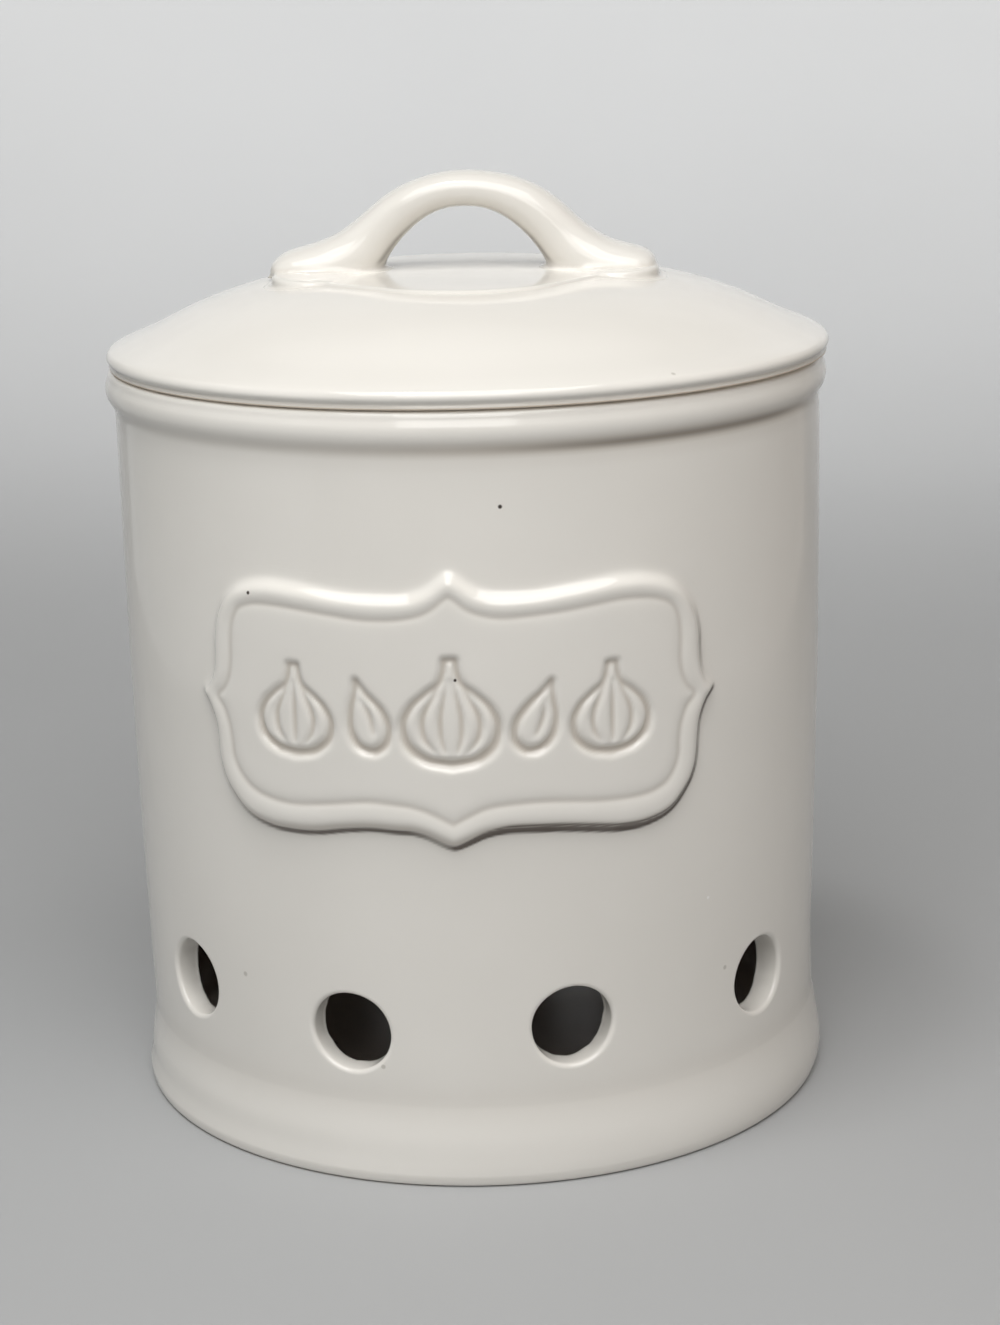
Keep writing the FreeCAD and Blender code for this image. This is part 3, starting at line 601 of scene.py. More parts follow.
def plaque_height(u, v):
    """Relief of the plaque over the wall at (across, up from its middle), in millimetres,
    with the distances inside its edge and inside its field."""
    a = signed(u, v, smooth_loop(PLAQUE_EDGE, n=5))
    c = signed(u, v, smooth_loop(PLAQUE_CREASE, n=5))
    # an S-shaped outer side, a rounded crown, a crease inside it, then the field
    rise = 0.5 + 0.5 * np.tanh(1.15 * a)
    drop = CREASE_DROP * (1 - np.clip(-c / 2.5, 0, 1)) ** 1.7
    field = FIELD_RISE * (1 - (1 - np.clip(c / 2.6, 0, 1)) ** 2)
    h = RIDGE_TOP * rise - np.where(c > 0, CREASE_DROP - field, drop)
    h = h - 0.14 * np.exp(-(c / 0.46) ** 2)
    h = np.maximum(h, 0)
    # ornament: grooves with soft sides
    if True:
        lobes = [(-5.2, 1.0), (-1.9, 0.8), (1.9, 0.8), (5.2, 1.0)]
        small = [(-4.4, 0.9), (0.0, 0.75), (4.4, 0.9)]
        d = garlic_bulb(u, v, 0.0, -0.6, 0.96, lobes)
        for s in (-1, 1):
            d = np.minimum(d, garlic_clove(u, v, 14.9 * s, -1.7, 0.98, s * 0.30))
            d = np.minimum(d, garlic_bulb(u, v, 28.2 * s, -1.2, 0.82, small))
        groove = 1.15 * (1 - smoothstep(-1.0, 0.62, d))
        h = h - groove
    return h, a, c


def make_plaque():
    reach_u, reach_v, step = 54.5, 30.4, 0.36
    nu, nv = int(2 * reach_u / step) + 1, int(2 * reach_v / step) + 1
    us, vs = np.linspace(-reach_u, reach_u, nu), np.linspace(-reach_v, reach_v, nv)
    u, v = np.meshgrid(us, vs)
    h, sd, field = plaque_height(u, v)
    h = blur(h, 0.30 / (us[1] - us[0]))
    # keep only cells near the plaque, so that its skirt follows the outline
    margin = -3.0
    rim = smoothstep(margin, margin + 0.8, sd)
    theta = u / 68.0
    z = PLAQUE_Z + v
    base = wall_radius(theta, z)
    r = base + 0.012 + h * rim
    front = polar(theta, r, z)
    back = polar(theta, base - 0.7, z)
    keep = sd > margin - 0.2
    cell = keep[:-1, :-1] & keep[1:, :-1] & keep[:-1, 1:] & keep[1:, 1:]
    ids = np.arange(nu * nv).reshape(nv, nu)
    q = np.stack([ids[:-1, :-1], ids[:-1, 1:], ids[1:, 1:], ids[1:, :-1]], -1)[cell]
    count = nu * nv
    faces = [q]
    # the back sheet, and a wall round the edge between the two
    faces.append(q[:, ::-1] + count)
    edges = {}
    for quad in q.tolist():
        for a, b in zip(quad, quad[1:] + quad[:1]):
            if (b, a) in edges:
                del edges[(b, a)]
            else:
                edges[(a, b)] = True
    side = np.array([[b, a, a + count, b + count] for a, b in edges])
    faces.append(side)
    allf = np.vstack(faces)
    used = np.unique(allf)
    remap = np.full(2 * count, -1)
    remap[used] = np.arange(len(used))
    build = Builder()
    verts = np.vstack([front.reshape(-1, 3), back.reshape(-1, 3)])[used]
    build.soup(verts, remap[allf])
    obj = build.object("label_plaque_relief", weld=0)
    # glaze pools in the hollows; the down-facing lower sides, most of all the ridge's overhanging
    # outer side, carry painted shade
    cell_size = us[1] - us[0]
    hollow = blur(h, 0.9 / cell_size) - h
    tone = 0.55 * np.clip(hollow / 0.30, 0, 1) * smoothstep(0.5, 2.5, sd)
    down = np.clip(np.gradient(h, axis=0) / cell_size, 0, 1.5)
    tone = tone + down * np.where(sd < 1.6, 0.42, 0.16)
    tone = np.clip(tone, 0, 1) * smoothstep(-2.6, -1.2, sd)
    full = np.concatenate([tone.ravel(), np.zeros(count)])[used]
    set_tone(obj, full)
    # painted shade: a dark line under the ridge where it meets the wall, heaviest low on the right,
    # the side away from the light; and a faint painted shade line along the crease
    gu = np.gradient(sd, axis=1) / cell_size
    gv = np.gradient(sd, axis=0) / cell_size
    way = np.clip(0.92 * gv - 0.50 * gu, 0, 1) ** 1.3
    inner = -0.25 + 1.05 * smoothstep(-2.0, 12.0, u) * (1 - smoothstep(-20.0, -6.0, v))
    under = smoothstep(-1.5, -1.1, sd) * (1 - smoothstep(inner - 0.3, inner + 0.25, sd))
    under = under * (1 - 0.35 * np.exp(-((sd - 0.15) / 0.16) ** 2))
    under = under * np.minimum(way * 1.15, 1) * (0.86 + 0.10 * smoothstep(-30.0, 30.0, u))
    crease = 0.10 * np.exp(-((field + 0.02) / 0.36) ** 2)
    set_line(obj, np.concatenate([(under + crease).ravel(), np.zeros(count)])[used])
    # the edge of the skirt is sharp, so that the skirt shades exactly as the wall does
    mesh = obj.data
    skirt = set(remap[np.array(list(edges.keys())).ravel()].tolist())
    sharp = mesh.attributes.new("sharp_edge", "BOOLEAN", "EDGE")
    flags = [(e.vertices[0] in skirt and e.vertices[1] in skirt) for e in mesh.edges]
    sharp.data.foreach_set("value", flags)
    return obj


# ----------------------------------------------------------------------------------------
# Lid
# ----------------------------------------------------------------------------------------
DOME_Z, DOME_FLAT, DOME_R = 160.15, 25.4, 75.0


def dome_height(r):
    """Outside of the lid over its round part."""
    r = np.asarray(r, float)
    over = np.clip(r - DOME_FLAT, 0, 60)
    return DOME_Z - DOME_R + np.sqrt(DOME_R ** 2 - over ** 2) - 0.05 * (
        np.clip(r, 0, DOME_FLAT) / DOME_FLAT) ** 2


def lid_paths():
    r = np.linspace(0, 60.0, 90)
    top = np.stack([r, dome_height(r)], 1)
    edge = rounded([
        (60.0, float(dome_height(60.0)), 0), (62.4, 150.5, 14.0), (66.6, 148.85, 12.0),
        (69.5, 147.5, 2.3), (69.95, 146.1, 1.6), (69.05, 145.45, 0.30), (69.45, 144.85, 0.10),
        (69.4, 144.47, 0.10), (69.0, 144.44, 0.1), (68.2, 144.4, 0.2),
        (62.5, 144.4, 0.5),
        (62.2, 137.0, 1.3), (59.0, 137.0, 1.3), (59.0, 147.3, 3.0), (55.0, 149.3, 0),
    ])
    r2 = np.linspace(55.0, 0.0, 60)
    under = np.stack([r2, DOME_Z - DOME_R + np.sqrt(
        70.5 ** 2 - np.clip(r2 - DOME_FLAT, 0, 60) ** 2)], 1)
    path = np.vstack([top, edge[1:-1], under])
    return path


def make_lid():
    path = soften(lid_paths(), 0.13, 0.1)
    path = thin_out(path, 2.4, turn_deg=5.0)
    theta = np.linspace(0, 2 * math.pi, COLUMNS, endpoint=False)
    body = path[1:-1]
    r = np.repeat(body[:, :1], COLUMNS, 1)
    z = np.repeat(body[:, 1:], COLUMNS, 1)
    uneven = (0.05 * np.sin(2 * theta + 1.9) + 0.035 * np.sin(3 * theta + 0.4)
              + 0.015 * np.sin(7 * theta + 2.0))[None]
    top_side = np.clip((z - 145.2) / 1.5, 0, 1) * np.clip(r / 40.0, 0, 1)
    z = z + uneven * top_side + mouth_tilt(theta[None]) * smoothstep(36.0, 62.0, r)
    r = r - 0.05 * np.abs(uneven) * top_side
    pts = polar(theta[None], r, z)
    build = Builder()
    build.grid(pts, closed=True, flip=True)
    build.fan(pts[0], np.array([0, 0, path[0, 1]]), flip=False)
    build.fan(pts[-1], np.array([0, 0, path[-1, 1]]), flip=True)
    return build.object("lid_dome", weld=1e-6)


# ----------------------------------------------------------------------------------------
# Signed distance solids and surface nets, for the handle and its pad
# ----------------------------------------------------------------------------------------


def smin(a, b, k):
    h = np.clip(0.5 + 0.5 * (b - a) / k, 0, 1)
    return b * (1 - h) + a * h - k * h * (1 - h)


def d_dome(p):
    r = np.hypot(p[..., 0], p[..., 1])
    over = np.clip(r - DOME_FLAT, 0, 60)
    slope = over / np.sqrt(DOME_R ** 2 - over ** 2)
    return (p[..., 2] - dome_height(r)) / np.sqrt(1 + slope ** 2)


def d_slab(plan, z, top, edge):
    """Plate whose plan distance is given (negative inside), flat top with a rounded edge."""
    a, b = plan + edge, z - (top - edge)
    return np.minimum(np.maximum(a, b), 0) + np.hypot(np.maximum(a, 0), np.maximum(b, 0)) - edge


# outline of the pad's round part, by angle in degrees from the front, positive to the right
PAD_ANGLE = [-180, -120, -90, -60, -50, -40, -30, -15, 0, 15, 28, 41, 50, 70, 120, 180]
PAD_EDGE = [29.0, 29.2, 30.2, 32.2, 31.7, 31.0, 31.0, 32.9, 33.4, 33.2, 32.0, 29.8, 28.5, 28.7,
            28.7, 29.0]


def rounded_box(x, y, x0, x1, y0, y1, corner):
    qx = np.abs(x - (x0 + x1) / 2) - ((x1 - x0) / 2 - corner)
    qy = np.abs(y - (y0 + y1) / 2) - ((y1 - y0) / 2 - corner)
    return np.hypot(np.maximum(qx, 0), np.maximum(qy, 0)) + np.minimum(
        np.maximum(qx, qy), 0) - corner


def d_pad_core(p):
    """A low crowned disc with a tab under each foot of the handle, not quite alike."""
    x, y, z = p[..., 0], p[..., 1], p[..., 2]
    turn = np.arctan2(x, -y)
    edge = np.interp(turn, PAD_FINE, PAD_FINE_EDGE)
    disc = d_slab(np.hypot(x, y) - edge, z, 161.0 - 0.00066 * (x * x + y * y), 0.5)
    left = rounded_box(x, y, -36.5, -17.0, -18.6, 13.0, 9.0)
    left = -smin(-left, -(0.927 * (x + 20.1) - 0.38 * (y + 10.5)), 3.0)
    right = rounded_box(x, y, 15.5, 37.2, -13.2, 12.0, 9.0)
    right = -smin(-right, 0.772 * (x - 20.9) + 0.634 * (y + 7.0), 3.0)
    top = 161.28 - 0.7 * (1 - smoothstep(18.0, 27.0, np.abs(x))) - 0.07 * np.clip(
        -y - 7.5, 0, 12)
    tabs = np.minimum(d_slab(left, z, top, 0.9), d_slab(right, z, top, 0.9))
    return smin(disc, tabs, 0.9)


PAD_FINE = np.linspace(-math.pi, math.pi, 361)
PAD_FINE_EDGE = np.interp(np.degrees(PAD_FINE), PAD_ANGLE, PAD_EDGE)
for _ in range(60):
    PAD_FINE_EDGE = (np.roll(PAD_FINE_EDGE, 1) + 2 * PAD_FINE_EDGE + np.roll(PAD_FINE_EDGE, -1)) / 4


# The handle as sections across the strap, from the crown down each side: the outer curve
# (distance from the middle, height) of the right and of the left half, which differ by
# hand, the inner curve they share, and half a width
STRAP_OUT = [0.0, 3.0, 6.2, 9.4, 12.6, 15.4, 18.0, 20.2, 22.4, 24.8, 27.6, 30.4, 33.0, 35.0]
STRAP_RIGHT = [179.40, 179.27, 178.84, 178.10, 177.00, 175.52, 173.66, 171.66, 169.58, 167.72,
               166.10, 165.16, 164.49, 163.80]
STRAP_LEFT = [179.40, 179.24, 178.72, 177.80, 176.47, 174.80, 172.80, 170.97, 169.30, 167.72,
              166.50, 165.64, 164.97, 164.28]
STRAP_IN = [(0.0, 172.6), (2.0, 172.5), (4.0, 172.15), (6.0, 171.4), (7.9, 170.35),
            (9.7, 169.0), (11.4, 167.45), (12.9, 165.8), (14.3, 164.0), (15.7, 161.9),
            (18.6, 159.4), (22.8, 158.2), (27.6, 157.9), (31.2, 158.0)]
STRAP_WIDE = [6.7, 6.7, 6.7, 6.7, 6.75, 6.8, 6.9, 7.0, 7.2, 7.6, 8.1, 8.5, 8.6, 8.3]
NOSE_RIGHT = [(36.1, 162.95, 34.0, 158.3, 7.4), (36.65, 161.95, 35.3, 158.7, 6.0),
              (36.8, 160.8, 36.1, 159.3, 4.4)]
NOSE_LEFT = [(36.75, 163.1, 34.4, 158.3, 7.4), (37.55, 162.0, 36.0, 158.7, 6.0),
             (37.75, 160.8, 37.0, 159.3, 4.4)]


def strap_table():
    right = np.array([(x, z, i[0], i[1], w) for x, z, i, w in zip(
        STRAP_OUT, STRAP_RIGHT, STRAP_IN, STRAP_WIDE)] + NOSE_RIGHT)
    left = np.array([(x, z, i[0], i[1], w) for x, z, i, w in zip(
        STRAP_OUT, STRAP_LEFT, STRAP_IN, STRAP_WIDE)] + NOSE_LEFT)[1:][::-1]
    left[:, 0] *= -1
    left[:, 2] *= -1
    rows = np.vstack([left, right])
    # denser, smooth in every column
    n = len(rows)
    t = np.arange(n)
    fine = np.linspace(0, n - 1, (n - 1) * 10 + 1)
    out = np.zeros((len(fine), 5))
    for c in range(5):
        y = rows[:, c]
        m = np.gradient(y)
        i = np.clip(fine.astype(int), 0, n - 2)
        f = fine - i
        out[:, c] = ((2 * f ** 3 - 3 * f ** 2 + 1) * y[i] + (f ** 3 - 2 * f ** 2 + f) * m[i]
                     + (-2 * f ** 3 + 3 * f ** 2) * y[i + 1] + (f ** 3 - f ** 2) * m[i + 1])
    k = np.exp(-0.5 * (np.arange(-9, 10) / 3.5) ** 2)
    k /= k.sum()
    padded = np.vstack([2 * out[0] - out[1:10][::-1], out, 2 * out[-1] - out[-10:-1][::-1]])
    return np.stack([np.convolve(padded[:, c], k, mode="valid") for c in range(5)], 1)


STRAP_FINE = strap_table()
STRAP_C = (STRAP_FINE[:, 0:2] + STRAP_FINE[:, 2:4]) / 2
STRAP_A = np.linalg.norm(STRAP_FINE[:, 0:2] - STRAP_FINE[:, 2:4], axis=1) / 2
STRAP_N = (STRAP_FINE[:, 0:2] - STRAP_FINE[:, 2:4]) / (2 * STRAP_A[:, None])


def strap_nearest(x, z):
    """For points in the XZ plane: the section whose line runs through the point, as the
    offset along that line, the distance past the strap's ends, and the section's half
    thickness and half width."""
    shape = x.shape
    x, z = x.ravel(), z.ravel()
    n = len(STRAP_C)
    across = [(x - STRAP_C[i, 0]) * STRAP_N[i, 1] - (z - STRAP_C[i, 1]) * STRAP_N[i, 0]
              for i in (0, n - 1)]
    # past an end: measured from the end's own section
    last = np.abs(across[1]) < np.abs(across[0])
    end = np.where(last, n - 1, 0)
    off = (x - STRAP_C[end, 0]) * STRAP_N[end, 0] + (z - STRAP_C[end, 1]) * STRAP_N[end, 1]
    along = np.where(last, np.abs(across[1]), np.abs(across[0]))
    half_t, half_w = STRAP_A[end], STRAP_FINE[end, 4]
    best = np.full(len(x), 1e9)
    g0 = across[0]
    for i in range(n - 1):
        j = i + 1
        g1 = (x - STRAP_C[j, 0]) * STRAP_N[j, 1] - (z - STRAP_C[j, 1]) * STRAP_N[j, 0]
        hit = (g0 >= 0) & (g1 < 0)
        t = np.where(hit, g0 / np.where(hit, g0 - g1, 1.0), 0.0)
        cx = STRAP_C[i, 0] * (1 - t) + STRAP_C[j, 0] * t
        cz = STRAP_C[i, 1] * (1 - t) + STRAP_C[j, 1] * t
        nx = STRAP_N[i, 0] * (1 - t) + STRAP_N[j, 0] * t
        nz = STRAP_N[i, 1] * (1 - t) + STRAP_N[j, 1] * t
        o = (x - cx) * nx + (z - cz) * nz
        take = hit & (np.abs(o) < best)
        best = np.where(take, np.abs(o), best)
        off = np.where(take, o, off)
        along = np.where(take, 0.0, along)
        half_t = np.where(take, STRAP_A[i] * (1 - t) + STRAP_A[j] * t, half_t)
        half_w = np.where(take, STRAP_FINE[i, 4] * (1 - t) + STRAP_FINE[j, 4] * t, half_w)
        g0 = g1
    return [q.reshape(shape) for q in (off, along, half_t, half_w)]


def d_strap_from(near, y):
    off, along, a, w = near
    # a strap whose section is a flattened oval
    e = 2.35
    q = (np.abs(off / a) ** e + np.abs(y / w) ** e) ** (1 / e)
    g = np.sqrt((off / a ** 2) ** 2 + (y / w ** 2) ** 2) / np.maximum(
        np.sqrt((off / a) ** 2 + (y / w) ** 2), 1e-6)
    d = (q - 1) / np.maximum(g, 1e-3)
    d = np.where(q < 0.3, -a * 0.7, d)
    return np.maximum(d, -a) + 0.9 * along * (along > 0.05)


def surface_nets(values, origin, step):
    """Quads of the zero surface of values, a grid of signed distances (inside negative)."""
    s = values < 0
    corner = [s[i:s.shape[0] - 1 + i, j:s.shape[1] - 1 + j, k:s.shape[2] - 1 + k]
              for i in (0, 1) for j in (0, 1) for k in (0, 1)]
    total = sum(c.astype(np.int8) for c in corner)
    active = (total > 0) & (total < 8)
    index = np.full(active.shape, -1, np.int64)
    cells = np.argwhere(active)
    index[active] = np.arange(len(cells))
    acc = np.zeros((len(cells), 3))
    cnt = np.zeros(len(cells))
    ci, cj, ck = cells.T
    for axis in range(3):
        for o1 in (0, 1):
            for o2 in (0, 1):
                a = [0, 0, 0]
                others = [q for q in range(3) if q != axis]
                a[others[0]], a[others[1]] = o1, o2
                b = list(a)
                b[axis] = 1
                va = values[ci + a[0], cj + a[1], ck + a[2]]
                vb = values[ci + b[0], cj + b[1], ck + b[2]]
                cross = (va < 0) != (vb < 0)
                t = np.where(cross, va / np.where(cross, va - vb, 1.0), 0.0)
                pos = np.array(a, float)[None].repeat(len(cells), 0)
                pos[:, axis] += t
                acc[cross] += pos[cross]
                cnt[cross] += 1
    verts = origin + (cells + acc / cnt[:, None]) * step
    quads = []
    for axis in range(3):
        lo = [slice(None)] * 3
        hi = [slice(None)] * 3
        lo[axis] = slice(0, s.shape[axis] - 1)
        hi[axis] = slice(1, s.shape[axis])
        flip_edges = s[tuple(lo)] != s[tuple(hi)]
        e = np.argwhere(flip_edges)
        o = [q for q in range(3) if q != axis]
        ok = (e[:, o[0]] > 0) & (e[:, o[1]] > 0) & (e[:, o[0]] < s.shape[o[0]] - 1) & (
            e[:, o[1]] < s.shape[o[1]] - 1)
        e = e[ok]
        first = s[e[:, 0], e[:, 1], e[:, 2]]

        def cell(d0, d1):
            c = e.copy()
            c[:, o[0]] += d0
            c[:, o[1]] += d1
            return index[c[:, 0], c[:, 1], c[:, 2]]
        q = np.stack([cell(-1, -1), cell(0, -1), cell(0, 0), cell(-1, 0)], 1)
        turn = first if axis != 1 else ~first
        q = np.where(turn[:, None], q, q[:, ::-1])
        quads.append(q)
    return verts, np.vstack(quads)


def settle(verts, dist, rounds=3, eps=0.02):
    """Moves vertices on to the true zero surface of the distance function."""
    p = verts.copy()
    for _ in range(rounds):
        f = dist(p)
        g = np.stack([(dist(p + eps * np.eye(3)[k]) - dist(p - eps * np.eye(3)[k])) / (2 * eps)
                      for k in range(3)], -1)
        n2 = np.maximum((g ** 2).sum(-1), 0.05)
        move = -(f / n2)[:, None] * g
        length = np.linalg.norm(move, axis=1)
        move *= np.minimum(1, 0.25 / np.maximum(length, 1e-9))[:, None]
        p += move
    return p


def carve(name, dist_grid, dist_points, low, high, step):
    low, high = np.array(low, float), np.array(high, float)
    n = np.ceil((high - low) / step).astype(int) + 1
    axes = [low[k] + np.arange(n[k]) * step for k in range(3)]
    values = dist_grid(*axes)
    verts, quads = surface_nets(values, low, step)
    verts = settle(verts, dist_points)
    build = Builder()
    build.soup(verts, quads)
    return build.object(name, weld=0), verts


def pad_surface(p):
    return smin(d_dome(p), d_pad_core(p), 0.75)


def make_pad(step):
    def dist(p):
        core = d_pad_core(p)
        body = smin(d_dome(p) + 0.012, core, 0.75)
        trim = core - 1.7
        under = 158.2 - p[..., 2]
        return np.maximum(np.maximum(body, trim), under)

    def grid(xs, ys, zs):
        p = np.stack(np.meshgrid(xs, ys, zs, indexing="ij"), -1)
        return dist(p)
    obj, verts = carve("handle_pad_plate", grid, dist, (-41, -36.4, 157.0), (41, 32.6, 162.6),
                       step)
    core = d_pad_core(verts)
    near = np.abs(core - 0.55)
    set_tone(obj, np.clip(1 - near / 0.5, 0, 1) * 0.22)
    return obj


def blend_width(x):
    """The glaze fillet between strap and pad is wide at the gap and tight at the foot's end."""
    return np.interp(np.abs(x), [14.0, 19.0, 26.0, 34.0], [2.6, 2.0, 1.2, 0.7])


def make_handle(step):
    def combine(strap, p):
        base = np.minimum(pad_surface(p), 1e9) + 0.012
        k = blend_width(p[..., 0])
        body = smin(strap, base, k)
        trim = strap - 2.2 * k / 2.6
        under = 159.6 - p[..., 2]
        return np.maximum(np.maximum(body, trim), under)

    def dist(p):
        near = strap_nearest(p[..., 0], p[..., 2])
        return combine(d_strap_from(near, p[..., 1]), p)

    def grid(xs, ys, zs):
        x2, z2 = np.meshgrid(xs, zs, indexing="ij")
        near = [q[:, None, :] for q in strap_nearest(x2, z2)]
        y = ys[None, :, None]
        strap = d_strap_from(near, y)
        p = np.stack(np.meshgrid(xs, ys, zs, indexing="ij"), -1)
        return combine(strap, p)
    obj, verts = carve("lid_handle_strap", grid, dist, (-41, -12, 158.6), (41, 12, 180.6), step)
    x, z = np.abs(verts[:, 0]), verts[:, 2]
    near = strap_nearest(verts[:, 0], verts[:, 2])
    under = np.clip(-near[0] / np.maximum(near[2], 0.1), 0, 1)
    # a thin darker brown line along the strap's inner edges, heavier low down, and a slightly
    # darker tone under the strap and where it meets the pad
    side = np.abs(verts[:, 1]) / np.maximum(near[3], 0.1)
    line = np.exp(-((under - 0.86) / 0.09) ** 2) * smoothstep(0.25, 0.6, side)
    pool_and_shade = 0.10 * smoothstep(0.8, 1.0, under)
    seam = np.clip(1 - np.abs(z - 161.5) / 0.5, 0, 1) * 0.25
    set_tone(obj, np.clip(pool_and_shade * smoothstep(161.5, 163.5, z) + seam, 0, 1))
    low = 1 - smoothstep(165.0, 171.0, z)
    set_line(obj, line * smoothstep(161.5, 163.0, z) * (0.22 + 0.30 * low))
    return obj


# ----------------------------------------------------------------------------------------
# Materials
# ----------------------------------------------------------------------------------------


def nodes_of(name):
    mat = bpy.data.materials.new(name)
    mat.use_nodes = True
    nt = mat.node_tree
    return mat, nt, nt.nodes["Principled BSDF"]


def glaze(name, light, shade, pool_and_shade, roughness=0.08, specks=True, wave=1.0,
          marks=()):
    """Cream-white glaze: soft changes of tone, darker and warmer by the tone attribute (glaze
    pooling in some places, painted shade in others), tiny specks and pinholes, and the faint
    unevenness that makes its reflections waver."""
    mat, nt, bsdf = nodes_of(name)
    n, link = nt.nodes, nt.links
    coord = n.new("ShaderNodeTexCoord")
    big = n.new("ShaderNodeTexNoise")
    big.inputs["Scale"].default_value = 21.0
    big.inputs["Detail"].default_value = 3.0
    link.new(coord.outputs["Object"], big.inputs["Vector"])
    tone = n.new("ShaderNodeMix")
    tone.data_type = "RGBA"
    tone.inputs[6].default_value = (*light, 1)
    tone.inputs[7].default_value = (*shade, 1)
    ramp = n.new("ShaderNodeMapRange")
    ramp.inputs["From Min"].default_value = 0.35
    ramp.inputs["From Max"].default_value = 0.68
    link.new(big.outputs["Fac"], ramp.inputs["Value"])
    link.new(ramp.outputs["Result"], tone.inputs[0])
    colour = tone.outputs[2]
    att = n.new("ShaderNodeAttribute")
    att.attribute_name = "tone"
    pool_shade_mix = n.new("ShaderNodeMix")
    pool_shade_mix.data_type = "RGBA"
    link.new(att.outputs["Fac"], pool_shade_mix.inputs[0])
    link.new(colour, pool_shade_mix.inputs[6])
    pool_shade_mix.inputs[7].default_value = (*pool_and_shade, 1)
    colour = pool_shade_mix.outputs[2]
    # thin dark lines: painted shade under the plaque's ridge, along its crease and under the rim;
    # also a darker line along the handle's inner edges
    line = n.new("ShaderNodeAttribute")
    line.attribute_name = "line"
    dark = n.new("ShaderNodeMix")
    dark.data_type = "RGBA"
    link.new(line.outputs["Fac"], dark.inputs[0])
    link.new(colour, dark.inputs[6])
    dark.inputs[7].default_value = (0.078, 0.054, 0.040, 1)
    colour = dark.outputs[2]
    for place, size, tint in marks:
        far = n.new("ShaderNodeVectorMath")
        far.operation = "DISTANCE"
        far.inputs[1].default_value = [q * MM for q in place]
        link.new(coord.outputs["Object"], far.inputs[0])
        spot = n.new("ShaderNodeMapRange")
        spot.inputs["From Min"].default_value = size * MM
        spot.inputs["From Max"].default_value = size * 0.55 * MM
        link.new(far.outputs["Value"], spot.inputs["Value"])
        mark = n.new("ShaderNodeMix")
        mark.data_type = "RGBA"
        link.new(spot.outputs["Result"], mark.inputs[0])
        link.new(colour, mark.inputs[6])
        mark.inputs[7].default_value = (*tint, 1)
        colour = mark.outputs[2]

    fine = n.new("ShaderNodeTexNoise")
    fine.inputs["Scale"].default_value = 900.0
    fine.inputs["Detail"].default_value = 2.0
    link.new(coord.outputs["Object"], fine.inputs["Vector"])
    slow = n.new("ShaderNodeTexNoise")
    slow.inputs["Scale"].default_value = 95.0
    slow.inputs["Detail"].default_value = 1.5
    link.new(coord.outputs["Object"], slow.inputs["Vector"])
    height = n.new("ShaderNodeMath")
    height.operation = "MULTIPLY_ADD"
    link.new(fine.outputs["Fac"], height.inputs[0])
    height.inputs[1].default_value = 0.05
    link.new(slow.outputs["Fac"], height.inputs[2])
    relief = height.outputs[0]

    if specks:
        cells = n.new("ShaderNodeTexVoronoi")
        cells.inputs["Scale"].default_value = 62.0
        link.new(coord.outputs["Object"], cells.inputs["Vector"])
        apart = n.new("ShaderNodeSeparateColor")
        link.new(cells.outputs["Color"], apart.inputs[0])
        chosen = n.new("ShaderNodeMath")
        chosen.operation = "GREATER_THAN"
        chosen.inputs[1].default_value = 0.93
        link.new(apart.outputs[0], chosen.inputs[0])
        # a speck's size differs from cell to cell
        size = n.new("ShaderNodeMapRange")
        size.inputs["To Min"].default_value = 0.010
        size.inputs["To Max"].default_value = 0.024
        link.new(apart.outputs[1], size.inputs["Value"])
        inside = n.new("ShaderNodeMath")
        inside.operation = "LESS_THAN"
        link.new(cells.outputs["Distance"], inside.inputs[0])
        link.new(size.outputs["Result"], inside.inputs[1])
        dot = n.new("ShaderNodeMath")
        dot.operation = "MULTIPLY"
        link.new(chosen.outputs[0], dot.inputs[0])
        link.new(inside.outputs[0], dot.inputs[1])
        speck = n.new("ShaderNodeMix")
        speck.data_type = "RGBA"
        link.new(dot.outputs[0], speck.inputs[0])
        link.new(colour, speck.inputs[6])
        speck.inputs[7].default_value = (0.16, 0.12, 0.085, 1)
        colour = speck.outputs[2]
        pit = n.new("ShaderNodeMath")
        pit.operation = "MULTIPLY_ADD"
        link.new(dot.outputs[0], pit.inputs[0])
        pit.inputs[1].default_value = -0.7
        link.new(relief, pit.inputs[2])
        relief = pit.outputs[0]

    link.new(colour, bsdf.inputs["Base Color"])
    rough = n.new("ShaderNodeMapRange")
    rough.inputs["To Min"].default_value = roughness * 0.75
    rough.inputs["To Max"].default_value = roughness * 1.35
    link.new(slow.outputs["Fac"], rough.inputs["Value"])
    link.new(rough.outputs["Result"], bsdf.inputs["Roughness"])
    bump = n.new("ShaderNodeBump")
    bump.inputs["Strength"].default_value = 1.0
    bump.inputs["Distance"].default_value = 0.00006 * wave
    link.new(relief, bump.inputs["Height"])
    link.new(bump.outputs["Normal"], bsdf.inputs["Normal"])
    bsdf.inputs["IOR"].default_value = 1.52
    bsdf.inputs["Specular IOR Level"].default_value = 0.5
    return mat


